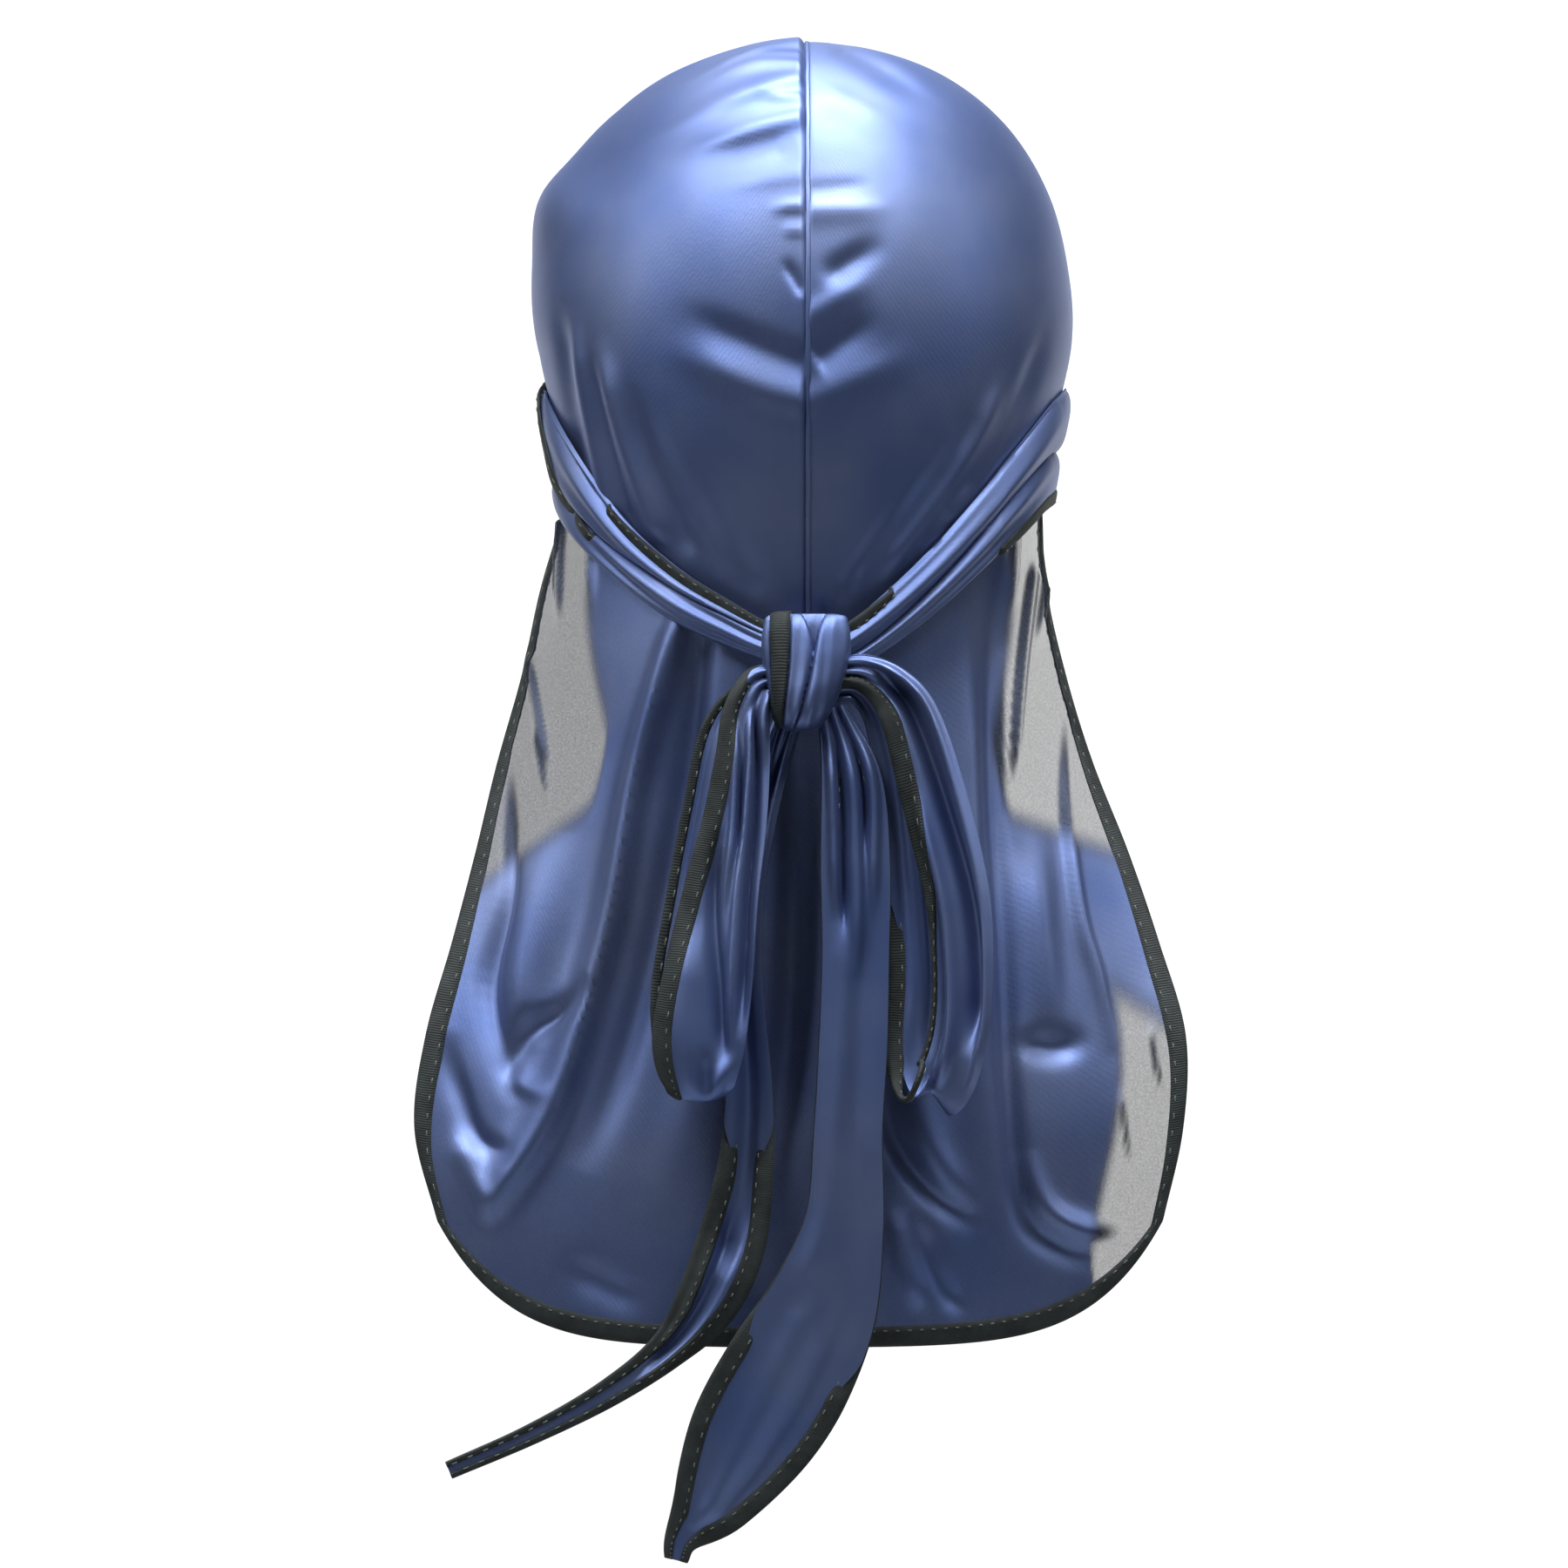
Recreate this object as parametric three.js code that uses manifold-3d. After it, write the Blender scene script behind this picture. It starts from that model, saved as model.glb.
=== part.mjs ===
// A satin head wrap (durag) as it is worn and tied: a crown of two panels joined by a seam over the top,
// a cape that hangs from the crown's lower edge, and two ties that pass round the head over that edge
// and meet at the nape in a knot with two bow loops and two tails. Dark tape binds the edges.
// Millimetres, +Z up, +Y is the way the wearer faces, +X is the wearer's right.
// The origin is the inside of the crown at its top, where it sits on the head.
import * as THREE from "three";
import Module from "manifold-3d";
import { mergeVertices } from "three/addons/utils/BufferGeometryUtils.js";

const wasm = await Module();
wasm.setup();

// Cloth and tape
const SATIN_WALL = 1.0; // the satin of the crown, cape, loops and tails
const TIE_WALL = 1.6; // the ties are folded where they pass round the head
const TAPE_WALL = 1.8; // the tape is folded round the edge that it binds
const TAPE_WIDTH = 5.6;
const SEWN_GAP = 0.6; // between two pieces that are sewn edge to edge
const LAID_GAP = 0.5; // between a piece and the cloth that it lies on

// Crown
const HEAD_WIDTH = 158; // across the crown, above the ears
const HEAD_LENGTH = 196; // from the brow to the back of the head
const NAPE_DROP = 178; // from the top down to the crown's edge at the nape
const SIDE_DROP = 134; // and down to its edge at the sides
const BROW_DROP = 62; // and down to its edge on the forehead
const GATHER_HEIGHT = 3.2; // the tallest gather of the crown
const SEAM_WIDTH = 2.2;
const SEAM_HEIGHT = 1.3;

// Cape
const CAPE_WIDTH = 220; // where it is widest, as it hangs
const CAPE_LENGTH = 198; // from the crown's edge at the nape to the hem
const CAPE_CORNERS = 33; // how much higher the hem's round corners are than its middle
const CAPE_LEAN = 3.3; // how far it hangs to the left, below the ties
const CAPE_OPENING = 85; // degrees from the nape round to the cape's side edges
const CAPE_EDGE_SWEEP = 64; // how far the side edges swing back on the way down
const CAPE_BACK_SWEEP = 14; // how far the middle swings back over the shoulder blades
const PLEAT_HEIGHT = 6; // the tallest pleat of the cape

// Ties, knot, loops and tails
const TIE_WIDTH = 36; // a tie at the side of the head
const TIE_REACH = 134; // degrees from the nape round to where a tie is sewn on
const KNOT_WIDTH = 25;
const KNOT_HEIGHT = 33;
const KNOT_DEPTH = 17;
const KNOT_DROP = 10; // the knot's middle below the crown's edge at the nape
const LAYER = 4; // from one hanging layer to the next, front to back
const LOOP_LENGTH = 116; // from the knot's middle down to the bottom of a loop
const LOOP_WIDTH = 27;
const LEFT_LOOP_SWING = 31; // how far a loop or a tail swings to the side
const RIGHT_LOOP_SWING = 42;
const LEFT_TAIL_LENGTH = 221; // from the knot's middle down to its tip
const LEFT_TAIL_SWING = 99;
const LEFT_TAIL_WIDTH = 19;
const RIGHT_TAIL_LENGTH = 245;
const RIGHT_TAIL_SWING = 36;
const RIGHT_TAIL_WIDTH = 36;
const FIRST_LAYER = 0.6; // how many layers in front of the cape the layers are counted from

// Where the tape and the seam end
const BROW_REACH = 67.5; // degrees from the brow's middle round to each end of its tape
const SEAM_START = 0.98; // the share of the way down to the nape where the seam goes under the knot
const TAPE_SHARE = 0.7; // the most of a band's half width that a tape takes

// How many facets the pieces have
const PANEL_AROUND = 18;
const PANEL_DOWN = 19;
const BACK_FINER = 1.35; // the crown's facets are closer together towards its back
const TOP_FINER = 1.15; // and towards its top
const SEAM_STEPS = 36;
const BROW_STEPS = 12;
const SIDE_STEPS = 13;
const HEM_STEPS = 34;
const KNOT_AROUND = 20;
const KNOT_DOWN = 11;
const TIE_ACROSS = 6;
const TIE_STEPS = 26;
const BAND_ACROSS = 4;

const DEGREE = Math.PI / 180;
const OUTWARD = new THREE.Vector3(0, 0, 1); // the wall's direction at the crown's top

// Down each meridian of the head, from the top to the crown's edge: how far out it is, as a share of half
// the head's width or length, and how far down, as a share of the drop at that meridian's edge.
const MERIDIANS = [
  { backOut: 0.0, backDown: 0.0, sideOut: 0.0, sideDown: 0.0, frontOut: 0.0, frontDown: 0.0 },
  { backOut: 0.28, backDown: 0.019, sideOut: 0.285, sideDown: 0.022, frontOut: 0.19, frontDown: 0.018 },
  { backOut: 0.54, backDown: 0.074, sideOut: 0.55, sideDown: 0.085, frontOut: 0.37, frontDown: 0.075 },
  { backOut: 0.76, backDown: 0.168, sideOut: 0.77, sideDown: 0.195, frontOut: 0.53, frontDown: 0.17 },
  { backOut: 0.905, backDown: 0.3, sideOut: 0.92, sideDown: 0.345, frontOut: 0.67, frontDown: 0.3 },
  { backOut: 0.985, backDown: 0.46, sideOut: 0.99, sideDown: 0.515, frontOut: 0.78, frontDown: 0.45 },
  { backOut: 1.0, backDown: 0.64, sideOut: 1.0, sideDown: 0.66, frontOut: 0.86, frontDown: 0.62 },
  { backOut: 0.965, backDown: 0.82, sideOut: 0.945, sideDown: 0.82, frontOut: 0.92, frontDown: 0.8 },
  { backOut: 0.9, backDown: 1.0, sideOut: 0.885, sideDown: 1.0, frontOut: 0.955, frontDown: 1.0 },
];

// Gathers and tension folds on the back of the crown. Each runs from one place to another, across as a
// share of half the head's width and down as a share of the nape's drop. Its width is a share of the
// head's width, and its height a share of the tallest gather.
const CROWN_FOLDS = [
  { across: -0.04, down: 0.07, toAcross: -0.46, toDown: 0.15, width: 0.03, height: 0.8 },
  { across: -0.04, down: 0.13, toAcross: -0.58, toDown: 0.25, width: 0.03, height: 1.0 },
  { across: -0.04, down: 0.19, toAcross: -0.6, toDown: 0.34, width: 0.03, height: 0.9 },
  { across: -0.04, down: 0.25, toAcross: -0.5, toDown: 0.41, width: 0.03, height: 0.7 },
  { across: 0.05, down: 0.12, toAcross: 0.56, toDown: 0.26, width: 0.05, height: 0.6 },
  { across: 0.06, down: 0.47, toAcross: 0.34, toDown: 0.38, width: 0.05, height: 0.6 },
  { across: -0.06, down: 0.62, toAcross: -0.52, toDown: 0.44, width: 0.06, height: 0.8 },
  { across: 0.06, down: 0.61, toAcross: 0.5, toDown: 0.44, width: 0.06, height: 0.7 },
  { across: -0.3, down: 0.99, toAcross: -0.8, toDown: 0.5, width: 0.04, height: 0.7 },
  { across: -0.56, down: 0.92, toAcross: -0.96, toDown: 0.52, width: 0.035, height: 0.7 },
  { across: 0.26, down: 0.99, toAcross: 0.74, toDown: 0.56, width: 0.04, height: 0.7 },
  { across: 0.52, down: 0.9, toAcross: 0.94, toDown: 0.52, width: 0.035, height: 0.7 },
];

// Down the cape from the crown's edge to the hem: how much of its full width it has spread to, how much
// of its lean it has, and how much of their swing back its side edges and its middle have made.
const CAPE_STATIONS = [
  { spread: 0.0, lean: 0.0, edge: 0.0, back: 0.0 },
  { spread: 0.115, lean: 1.0, edge: 0.05, back: 0.08 },
  { spread: 0.25, lean: 1.0, edge: 0.16, back: 0.22 },
  { spread: 0.43, lean: 0.9, edge: 0.32, back: 0.42 },
  { spread: 0.62, lean: 0.3, edge: 0.5, back: 0.63 },
  { spread: 0.8, lean: 0.0, edge: 0.67, back: 0.82 },
  { spread: 0.97, lean: 0.0, edge: 0.82, back: 0.96 },
  { spread: 0.99, lean: 0.6, edge: 0.92, back: 1.0 },
  { spread: 0.83, lean: 0.5, edge: 1.0, back: 0.96 },
];
const HEM_ROUNDNESS = 4.9; // 2 would make the hem an arc, and more makes its middle flatter

// Pleats of the cape, each from a place on the crown's edge to a place on the hem, with -1 and 1 at the
// side edges. Widths are shares of half the cape's width, heights of the tallest pleat, and each pleat
// rises and dies away at a share of the way down.
const CAPE_PLEATS = [
  { top: -0.88, hem: -0.93, width: 0.045, height: 0.45, rises: 0.02, dies: 0.55 },
  { top: -0.66, hem: -0.78, width: 0.06, height: 0.55, rises: 0.02, dies: 0.8 },
  { top: -0.36, hem: -0.66, width: 0.075, height: 1.0, rises: 0.04, dies: 0.98 },
  { top: -0.14, hem: -0.3, width: 0.09, height: 0.7, rises: 0.06, dies: 0.9 },
  { top: 0.16, hem: 0.22, width: 0.09, height: 0.6, rises: 0.06, dies: 0.9 },
  { top: 0.4, hem: 0.46, width: 0.08, height: 0.75, rises: 0.04, dies: 0.95 },
  { top: 0.62, hem: 0.64, width: 0.06, height: 0.6, rises: 0.02, dies: 0.9 },
  { top: 0.84, hem: 0.84, width: 0.05, height: 0.5, rises: 0.02, dies: 0.85 },
];

// Round the head from where a tie is sewn on to the knot: the place as a share of the way round, the
// band's middle above the crown's edge and its width as shares of the tie's width, and how far it has
// lifted off towards the knot as a share of the knot's depth.
const LEFT_TIE = [
  { round: 0.0, above: 0.3, width: 0.4, lift: 0.0 },
  { round: 0.1, above: 0.36, width: 0.66, lift: 0.0 },
  { round: 0.22, above: 0.42, width: 0.9, lift: 0.0 },
  { round: 0.36, above: 0.41, width: 0.96, lift: 0.0 },
  { round: 0.5, above: 0.25, width: 0.79, lift: 0.0 },
  { round: 0.65, above: 0.11, width: 0.53, lift: 0.0 },
  { round: 0.77, above: 0.05, width: 0.43, lift: 0.02 },
  { round: 0.87, above: 0.02, width: 0.35, lift: 0.1 },
  { round: 0.94, above: -0.05, width: 0.28, lift: 0.3 },
  { round: 0.98, above: -0.1, width: 0.24, lift: 0.5 },
];
const RIGHT_TIE = [
  { round: 0.0, above: 0.3, width: 0.4, lift: 0.0 },
  { round: 0.1, above: 0.36, width: 0.66, lift: 0.0 },
  { round: 0.22, above: 0.42, width: 0.9, lift: 0.0 },
  { round: 0.36, above: 0.44, width: 0.96, lift: 0.0 },
  { round: 0.5, above: 0.44, width: 0.86, lift: 0.0 },
  { round: 0.65, above: 0.35, width: 0.7, lift: 0.0 },
  { round: 0.77, above: 0.2, width: 0.56, lift: 0.02 },
  { round: 0.87, above: 0.02, width: 0.46, lift: 0.1 },
  { round: 0.94, above: -0.13, width: 0.38, lift: 0.3 },
  { round: 0.98, above: -0.22, width: 0.32, lift: 0.5 },
];
// Creases along a tie, from its lower edge at -1 to its upper edge at 1, heights in shares of its wall.
const TIE_CREASES = [
  { across: -0.45, width: 0.28, height: 0.9 },
  { across: 0.3, width: 0.26, height: 0.8 },
];

// The knot from its top to its bottom, as shares of its height, width and depth.
const KNOT_RINGS = [
  { up: 0.5, width: 0.0, depth: 0.0 },
  { up: 0.47, width: 0.6, depth: 0.55 },
  { up: 0.38, width: 0.88, depth: 0.85 },
  { up: 0.2, width: 1.0, depth: 1.0 },
  { up: 0.0, width: 0.99, depth: 1.0 },
  { up: -0.2, width: 0.88, depth: 0.94 },
  { up: -0.37, width: 0.62, depth: 0.76 },
  { up: -0.46, width: 0.34, depth: 0.5 },
  { up: -0.5, width: 0.0, depth: 0.0 },
];
const KNOT_WRAPS = 3; // turns of cloth that show on its front
const KNOT_GROOVE = 0.12; // the grooves between them, as a share of the knot's depth

// Hanging bands, from one end to the other. across and down are shares of the band's swing, away from
// the middle of the back, and of its length from the knot's middle. half is a share of half its width,
// and out is how many layers it hangs in front of the cape. Its width runs from its inner edge to its
// outer one, which slant lifts and yaw turns to the front, in degrees.
const LEFT_LOOP = [
  { across: 0.24, down: 0.02, half: 0.3, out: 2.5, slant: 82, yaw: 0 },
  { across: 0.42, down: 0.03, half: 0.38, out: 2.8, slant: 76, yaw: 0 },
  { across: 0.54, down: 0.1, half: 0.48, out: 3.1, slant: 42, yaw: 0 },
  { across: 0.57, down: 0.21, half: 0.56, out: 3.4, slant: 12, yaw: 0 },
  { across: 0.64, down: 0.36, half: 0.66, out: 3.7, slant: 4, yaw: -8 },
  { across: 0.76, down: 0.53, half: 0.78, out: 4.0, slant: 6, yaw: -12 },
  { across: 0.86, down: 0.7, half: 0.9, out: 4.2, slant: 6, yaw: -12 },
  { across: 0.95, down: 0.87, half: 0.96, out: 4.2, slant: 8, yaw: -10 },
  { across: 0.97, down: 0.97, half: 0.9, out: 3.8, slant: 8, yaw: -6 },
  { across: 0.98, down: 0.99, half: 0.86, out: 3.1, slant: 8, yaw: 0 },
  { across: 0.98, down: 0.94, half: 0.9, out: 2.5, slant: 8, yaw: 0 },
  { across: 0.96, down: 0.78, half: 0.97, out: 2.2, slant: 6, yaw: 0 },
  { across: 0.87, down: 0.54, half: 0.86, out: 2.1, slant: 4, yaw: 0 },
  { across: 0.77, down: 0.33, half: 0.76, out: 2.1, slant: 6, yaw: 0 },
  { across: 0.69, down: 0.15, half: 0.6, out: 2.0, slant: 32, yaw: 0 },
  { across: 0.48, down: 0.06, half: 0.4, out: 1.9, slant: 74, yaw: 0 },
  { across: 0.26, down: 0.05, half: 0.3, out: 1.8, slant: 82, yaw: 0 },
];
const RIGHT_LOOP = [
  { across: 0.18, down: 0.0, half: 0.3, out: 2.4, slant: 82, yaw: 0 },
  { across: 0.38, down: 0.0, half: 0.38, out: 2.8, slant: 76, yaw: 0 },
  { across: 0.56, down: 0.04, half: 0.5, out: 3.1, slant: 50, yaw: 0 },
  { across: 0.7, down: 0.12, half: 0.6, out: 3.4, slant: 24, yaw: 0 },
  { across: 0.86, down: 0.32, half: 0.68, out: 3.7, slant: 8, yaw: 14 },
  { across: 1.0, down: 0.54, half: 0.7, out: 4.0, slant: 0, yaw: 24 },
  { across: 1.03, down: 0.72, half: 0.7, out: 4.1, slant: -4, yaw: 30 },
  { across: 1.0, down: 0.87, half: 0.68, out: 4.0, slant: -12, yaw: 28 },
  { across: 0.9, down: 0.975, half: 0.66, out: 3.4, slant: -18, yaw: 20 },
  { across: 0.8, down: 0.985, half: 0.66, out: 2.7, slant: -16, yaw: 10 },
  { across: 0.74, down: 0.9, half: 0.68, out: 2.1, slant: -6, yaw: 4 },
  { across: 0.76, down: 0.72, half: 0.68, out: 1.8, slant: 0, yaw: 0 },
  { across: 0.72, down: 0.5, half: 0.62, out: 1.6, slant: 2, yaw: 0 },
  { across: 0.65, down: 0.27, half: 0.56, out: 1.6, slant: 10, yaw: 0 },
  { across: 0.52, down: 0.1, half: 0.44, out: 1.6, slant: 36, yaw: 0 },
  { across: 0.35, down: 0.03, half: 0.36, out: 1.7, slant: 74, yaw: 0 },
  { across: 0.18, down: 0.03, half: 0.3, out: 1.7, slant: 82, yaw: 0 },
];
const LEFT_TAIL = [
  { across: 0.04, down: 0.04, half: 0.4, out: 0.9, slant: 0, yaw: 0 },
  { across: 0.11, down: 0.14, half: 0.5, out: 0.9, slant: 0, yaw: 0 },
  { across: 0.165, down: 0.27, half: 0.5, out: 1.0, slant: 0, yaw: 0 },
  { across: 0.175, down: 0.4, half: 0.56, out: 1.0, slant: 0, yaw: 0 },
  { across: 0.16, down: 0.52, half: 0.66, out: 1.0, slant: 2, yaw: 0 },
  { across: 0.17, down: 0.62, half: 0.8, out: 1.1, slant: 6, yaw: 0 },
  { across: 0.21, down: 0.715, half: 0.98, out: 1.3, slant: 14, yaw: 0 },
  { across: 0.28, down: 0.79, half: 0.9, out: 1.5, slant: 30, yaw: 0 },
  { across: 0.39, down: 0.85, half: 0.56, out: 1.6, slant: 50, yaw: 0 },
  { across: 0.56, down: 0.905, half: 0.4, out: 1.7, slant: 60, yaw: 0 },
  { across: 0.77, down: 0.955, half: 0.3, out: 1.7, slant: 66, yaw: 0 },
  { across: 1.0, down: 1.0, half: 0.26, out: 1.7, slant: 66, yaw: 0 },
];
const RIGHT_TAIL = [
  { across: 0.2, down: 0.04, half: 0.22, out: 2.2, slant: 0, yaw: 0 },
  { across: 0.35, down: 0.12, half: 0.46, out: 2.5, slant: 0, yaw: 0 },
  { across: 0.38, down: 0.22, half: 0.53, out: 2.6, slant: 0, yaw: 0 },
  { across: 0.38, down: 0.32, half: 0.51, out: 2.6, slant: 0, yaw: 0 },
  { across: 0.36, down: 0.42, half: 0.52, out: 2.7, slant: 0, yaw: 0 },
  { across: 0.32, down: 0.52, half: 0.52, out: 2.8, slant: 0, yaw: 0 },
  { across: 0.29, down: 0.62, half: 0.6, out: 2.9, slant: -4, yaw: 0 },
  { across: 0.12, down: 0.715, half: 0.84, out: 3.1, slant: -20, yaw: 0 },
  { across: -0.16, down: 0.795, half: 0.98, out: 3.2, slant: -32, yaw: 0 },
  { across: -0.45, down: 0.865, half: 0.92, out: 3.2, slant: -36, yaw: 0 },
  { across: -0.73, down: 0.933, half: 0.62, out: 3.2, slant: -38, yaw: 0 },
  { across: -0.95, down: 0.975, half: 0.28, out: 3.2, slant: -24, yaw: 0 },
  { across: -1.0, down: 1.0, half: 0.18, out: 3.2, slant: -10, yaw: 0 },
];

const lerp = THREE.MathUtils.lerp;
const clamp = THREE.MathUtils.clamp;
const smooth = (x) => THREE.MathUtils.smoothstep(x, 0, 1);

// One column of a table at a share of the way down it, on a smooth curve through its rows. before is what
// the column would hold one row above the first.
function column(rows, name, share, before = null) {
  const place = clamp(share, 0, 1) * (rows.length - 1);
  const i = Math.min(Math.floor(place), rows.length - 2);
  const f = place - i;
  const [b, c] = [rows[i][name], rows[i + 1][name]];
  const a = i > 0 ? rows[i - 1][name] : (before ?? 2 * b - c);
  const d = i + 2 < rows.length ? rows[i + 2][name] : 2 * c - b;
  return b + 0.5 * f * (c - a + f * (2 * a - 5 * b + 4 * c - d + f * (3 * (b - c) + d - a)));
}

// The crown without its folds, at an angle round from the nape and a share of the way down.
function bareCrown(turn, down) {
  const side = Math.sin(turn);
  const rear = Math.cos(turn);
  const end = rear > 0 ? "back" : "front";
  const endDrop = rear > 0 ? NAPE_DROP : BROW_DROP;
  const [first] = MERIDIANS.slice(1);
  const sideFall = SIDE_DROP * column(MERIDIANS, "sideDown", down, first.sideDown);
  const endFall = endDrop * column(MERIDIANS, end + "Down", down, first[end + "Down"]);
  return new THREE.Vector3(
    (HEAD_WIDTH / 2) * column(MERIDIANS, "sideOut", down) * side,
    (-HEAD_LENGTH / 2) * column(MERIDIANS, end + "Out", down) * rear,
    SATIN_WALL / 2 - (sideFall * side * side + endFall * rear * rear),
  );
}

// The direction out of a surface at a place on it, from four places close by.
function facing(surface, u, v) {
  const step = 1e-3;
  const across = surface(u + step, v).sub(surface(u - step, v));
  const down = surface(u, Math.min(v + step, 1)).sub(surface(u, Math.max(v - step, 0)));
  const normal = down.cross(across);
  return normal.lengthSq() < 1e-12 ? OUTWARD.clone() : normal.normalize();
}

// How high the crown's folds stand at a place on its back.
function crownFold(place) {
  if (place.y > 0) return 0;
  let height = 0;
  for (const f of CROWN_FOLDS) {
    const from = new THREE.Vector2((f.across * HEAD_WIDTH) / 2, -f.down * NAPE_DROP);
    const to = new THREE.Vector2((f.toAcross * HEAD_WIDTH) / 2, -f.toDown * NAPE_DROP);
    const run = to.clone().sub(from);
    const here = new THREE.Vector2(place.x, place.z).sub(from);
    const share = clamp(here.dot(run) / run.lengthSq(), 0, 1);
    const aside = here.sub(run.multiplyScalar(share)).length() / (f.width * HEAD_WIDTH);
    height += f.height * Math.exp(-aside * aside) * (1 - smooth(2 * share - 1));
  }
  const fromSeam = smooth((Math.abs(place.x) - SEAM_WIDTH / 2) / (3 * SEAM_WIDTH));
  const fromEars = smooth(-place.y / (HEAD_LENGTH / 8));
  return GATHER_HEIGHT * height * fromSeam * fromEars;
}

function crownAt(turn, down) {
  const place = bareCrown(turn, down);
  const height = crownFold(place);
  return height ? place.addScaledVector(facing(bareCrown, turn, down), height) : place;
}

// A place past the crown's edge, in line with the cloth above it.
function pastRim(turn, distance) {
  const rim = crownAt(turn, 1);
  const along = rim.clone().sub(crownAt(turn, 0.97)).normalize();
  return rim.addScaledVector(along, distance);
}

// The cape, from its left edge at u -1 to its right edge at 1, and from the crown's edge at v 0 to the hem.
function bareCape(u, v) {
  const turn = u * CAPE_OPENING * DEGREE;
  const edge = CAPE_OPENING * DEGREE;
  const rim = pastRim(turn, SEWN_GAP);
  const middle = (Math.cos(turn) - Math.cos(edge)) / (1 - Math.cos(edge));
  const hem = -(NAPE_DROP + CAPE_LENGTH - CAPE_CORNERS * Math.abs(u) ** HEM_ROUNDNESS);
  const edgeSweep = CAPE_EDGE_SWEEP * column(CAPE_STATIONS, "edge", v);
  const backSweep = CAPE_BACK_SWEEP * column(CAPE_STATIONS, "back", v);
  return new THREE.Vector3(
    lerp(rim.x, (CAPE_WIDTH / 2) * u, column(CAPE_STATIONS, "spread", v)) -
      CAPE_LEAN * column(CAPE_STATIONS, "lean", v),
    rim.y - lerp(edgeSweep, backSweep, middle),
    lerp(rim.z, hem, v),
  );
}

function capePleat(u, v) {
  let height = 0;
  for (const p of CAPE_PLEATS) {
    const aside = (u - lerp(p.top, p.hem, v)) / p.width;
    const rise = smooth((v - p.rises) / 0.2);
    const fall = 1 - smooth((v - p.dies + 0.25) / 0.25);
    height += p.height * Math.exp(-aside * aside) * rise * fall;
  }
  return PLEAT_HEIGHT * height;
}

function foldedCape(u, v) {
  const place = bareCape(u, v);
  return place.addScaledVector(facing(bareCape, u, v), capePleat(u, v));
}

// The cape within an inset from its edges and hem. a runs from -1 to 1 across, and b from 0 to 1 down.
function capeAt(a, b, inset) {
  const halfRow = bareCape(1, b).sub(bareCape(0, b)).length();
  const v = b * (1 - inset / CAPE_LENGTH);
  return foldedCape(a * (1 - inset / halfRow), v);
}

// The crown or, past its edge, the cape, at a distance above that edge.
function bodyAt(turn, above) {
  const opening = CAPE_OPENING * DEGREE;
  if (above < 0 && Math.abs(turn) < opening) return foldedCape(turn / opening, -above / CAPE_LENGTH);
  if (above < 0) return pastRim(turn, -above);
  const rim = bareCrown(turn, 1);
  const lastRow = rim.sub(bareCrown(turn, 0.9)).length() / 0.1;
  return crownAt(turn, 1 - above / lastRow);
}

// A tie as a flat band laid on the crown's edge. s runs from where it is sewn on to the knot, and w from
// its lower edge at -1 to its upper edge at 1. hand is -1 on the left and 1 on the right.
function tieFrame(hand, s) {
  const rows = hand < 0 ? LEFT_TIE : RIGHT_TIE;
  const turn = hand * TIE_REACH * DEGREE * (1 - column(rows, "round", s));
  const above = TIE_WIDTH * column(rows, "above", s);
  const half = (TIE_WIDTH / 2) * column(rows, "width", s);
  const low = bodyAt(turn, above - half);
  const high = bodyAt(turn, above + half);
  const up = high.clone().sub(low).normalize();
  const middle = low.add(high).multiplyScalar(0.5);
  const round = bodyAt(turn + 0.02, above).sub(bodyAt(turn - 0.02, above));
  const out = round.cross(up).normalize();
  let bulge = 0;
  for (let k = -4; k <= 4; k += 1) {
    const under = bodyAt(turn, above + (half * k) / 4).sub(middle);
    bulge = Math.max(bulge, under.dot(out));
  }
  const lift = KNOT_DEPTH * column(rows, "lift", s);
  const clear = (TIE_WALL + TAPE_WALL) / 2 + LAID_GAP + bulge + lift;
  return { middle: middle.addScaledVector(out, clear), up, out, half };
}

function tieAt(hand, s, w) {
  const { middle, up, out, half } = tieFrame(hand, s);
  let crease = 0;
  for (const c of TIE_CREASES) crease += c.height * Math.exp(-(((w - c.across) / c.width) ** 2));
  return middle.addScaledVector(up, half * w).addScaledVector(out, crease * TIE_WALL * 0.5);
}

// How far behind the head's middle the middle of the cape is, at a drop from the top.
function capeReach(drop) {
  return -bareCape(0, clamp((drop - NAPE_DROP) / CAPE_LENGTH, 0, 1)).y;
}

const KNOT_MIDDLE = new THREE.Vector3(
  0,
  -(capeReach(NAPE_DROP + KNOT_DROP) + SATIN_WALL / 2 + TAPE_WALL + LAID_GAP + KNOT_DEPTH / 2),
  -(NAPE_DROP + KNOT_DROP),
);

// A hanging band from its table. s runs along it, and w across it from its inner edge at -1 to its outer
// edge at 1. hand is -1 on the left and 1 on the right.
function bandAt(band, s, w) {
  const { rows, hand, swing, length, width } = band;
  const middleAt = (share) => {
    const drop = length * column(rows, "down", share) - KNOT_MIDDLE.z;
    const reach = capeReach(drop) + LAYER * (FIRST_LAYER + column(rows, "out", share));
    return new THREE.Vector3(hand * swing * column(rows, "across", share), -reach, -drop);
  };
  const along = middleAt(Math.min(s + 0.01, 1)).sub(middleAt(Math.max(s - 0.01, 0))).normalize();
  const slant = column(rows, "slant", s) * DEGREE;
  const yaw = column(rows, "yaw", s) * DEGREE;
  const across = new THREE.Vector3(
    hand * Math.cos(slant) * Math.cos(yaw),
    -Math.sin(yaw),
    Math.sin(slant) * Math.cos(yaw),
  );
  across.addScaledVector(along, -across.dot(along)).normalize();
  return middleAt(s).addScaledVector(across, (width / 2) * column(rows, "half", s) * w);
}

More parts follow.
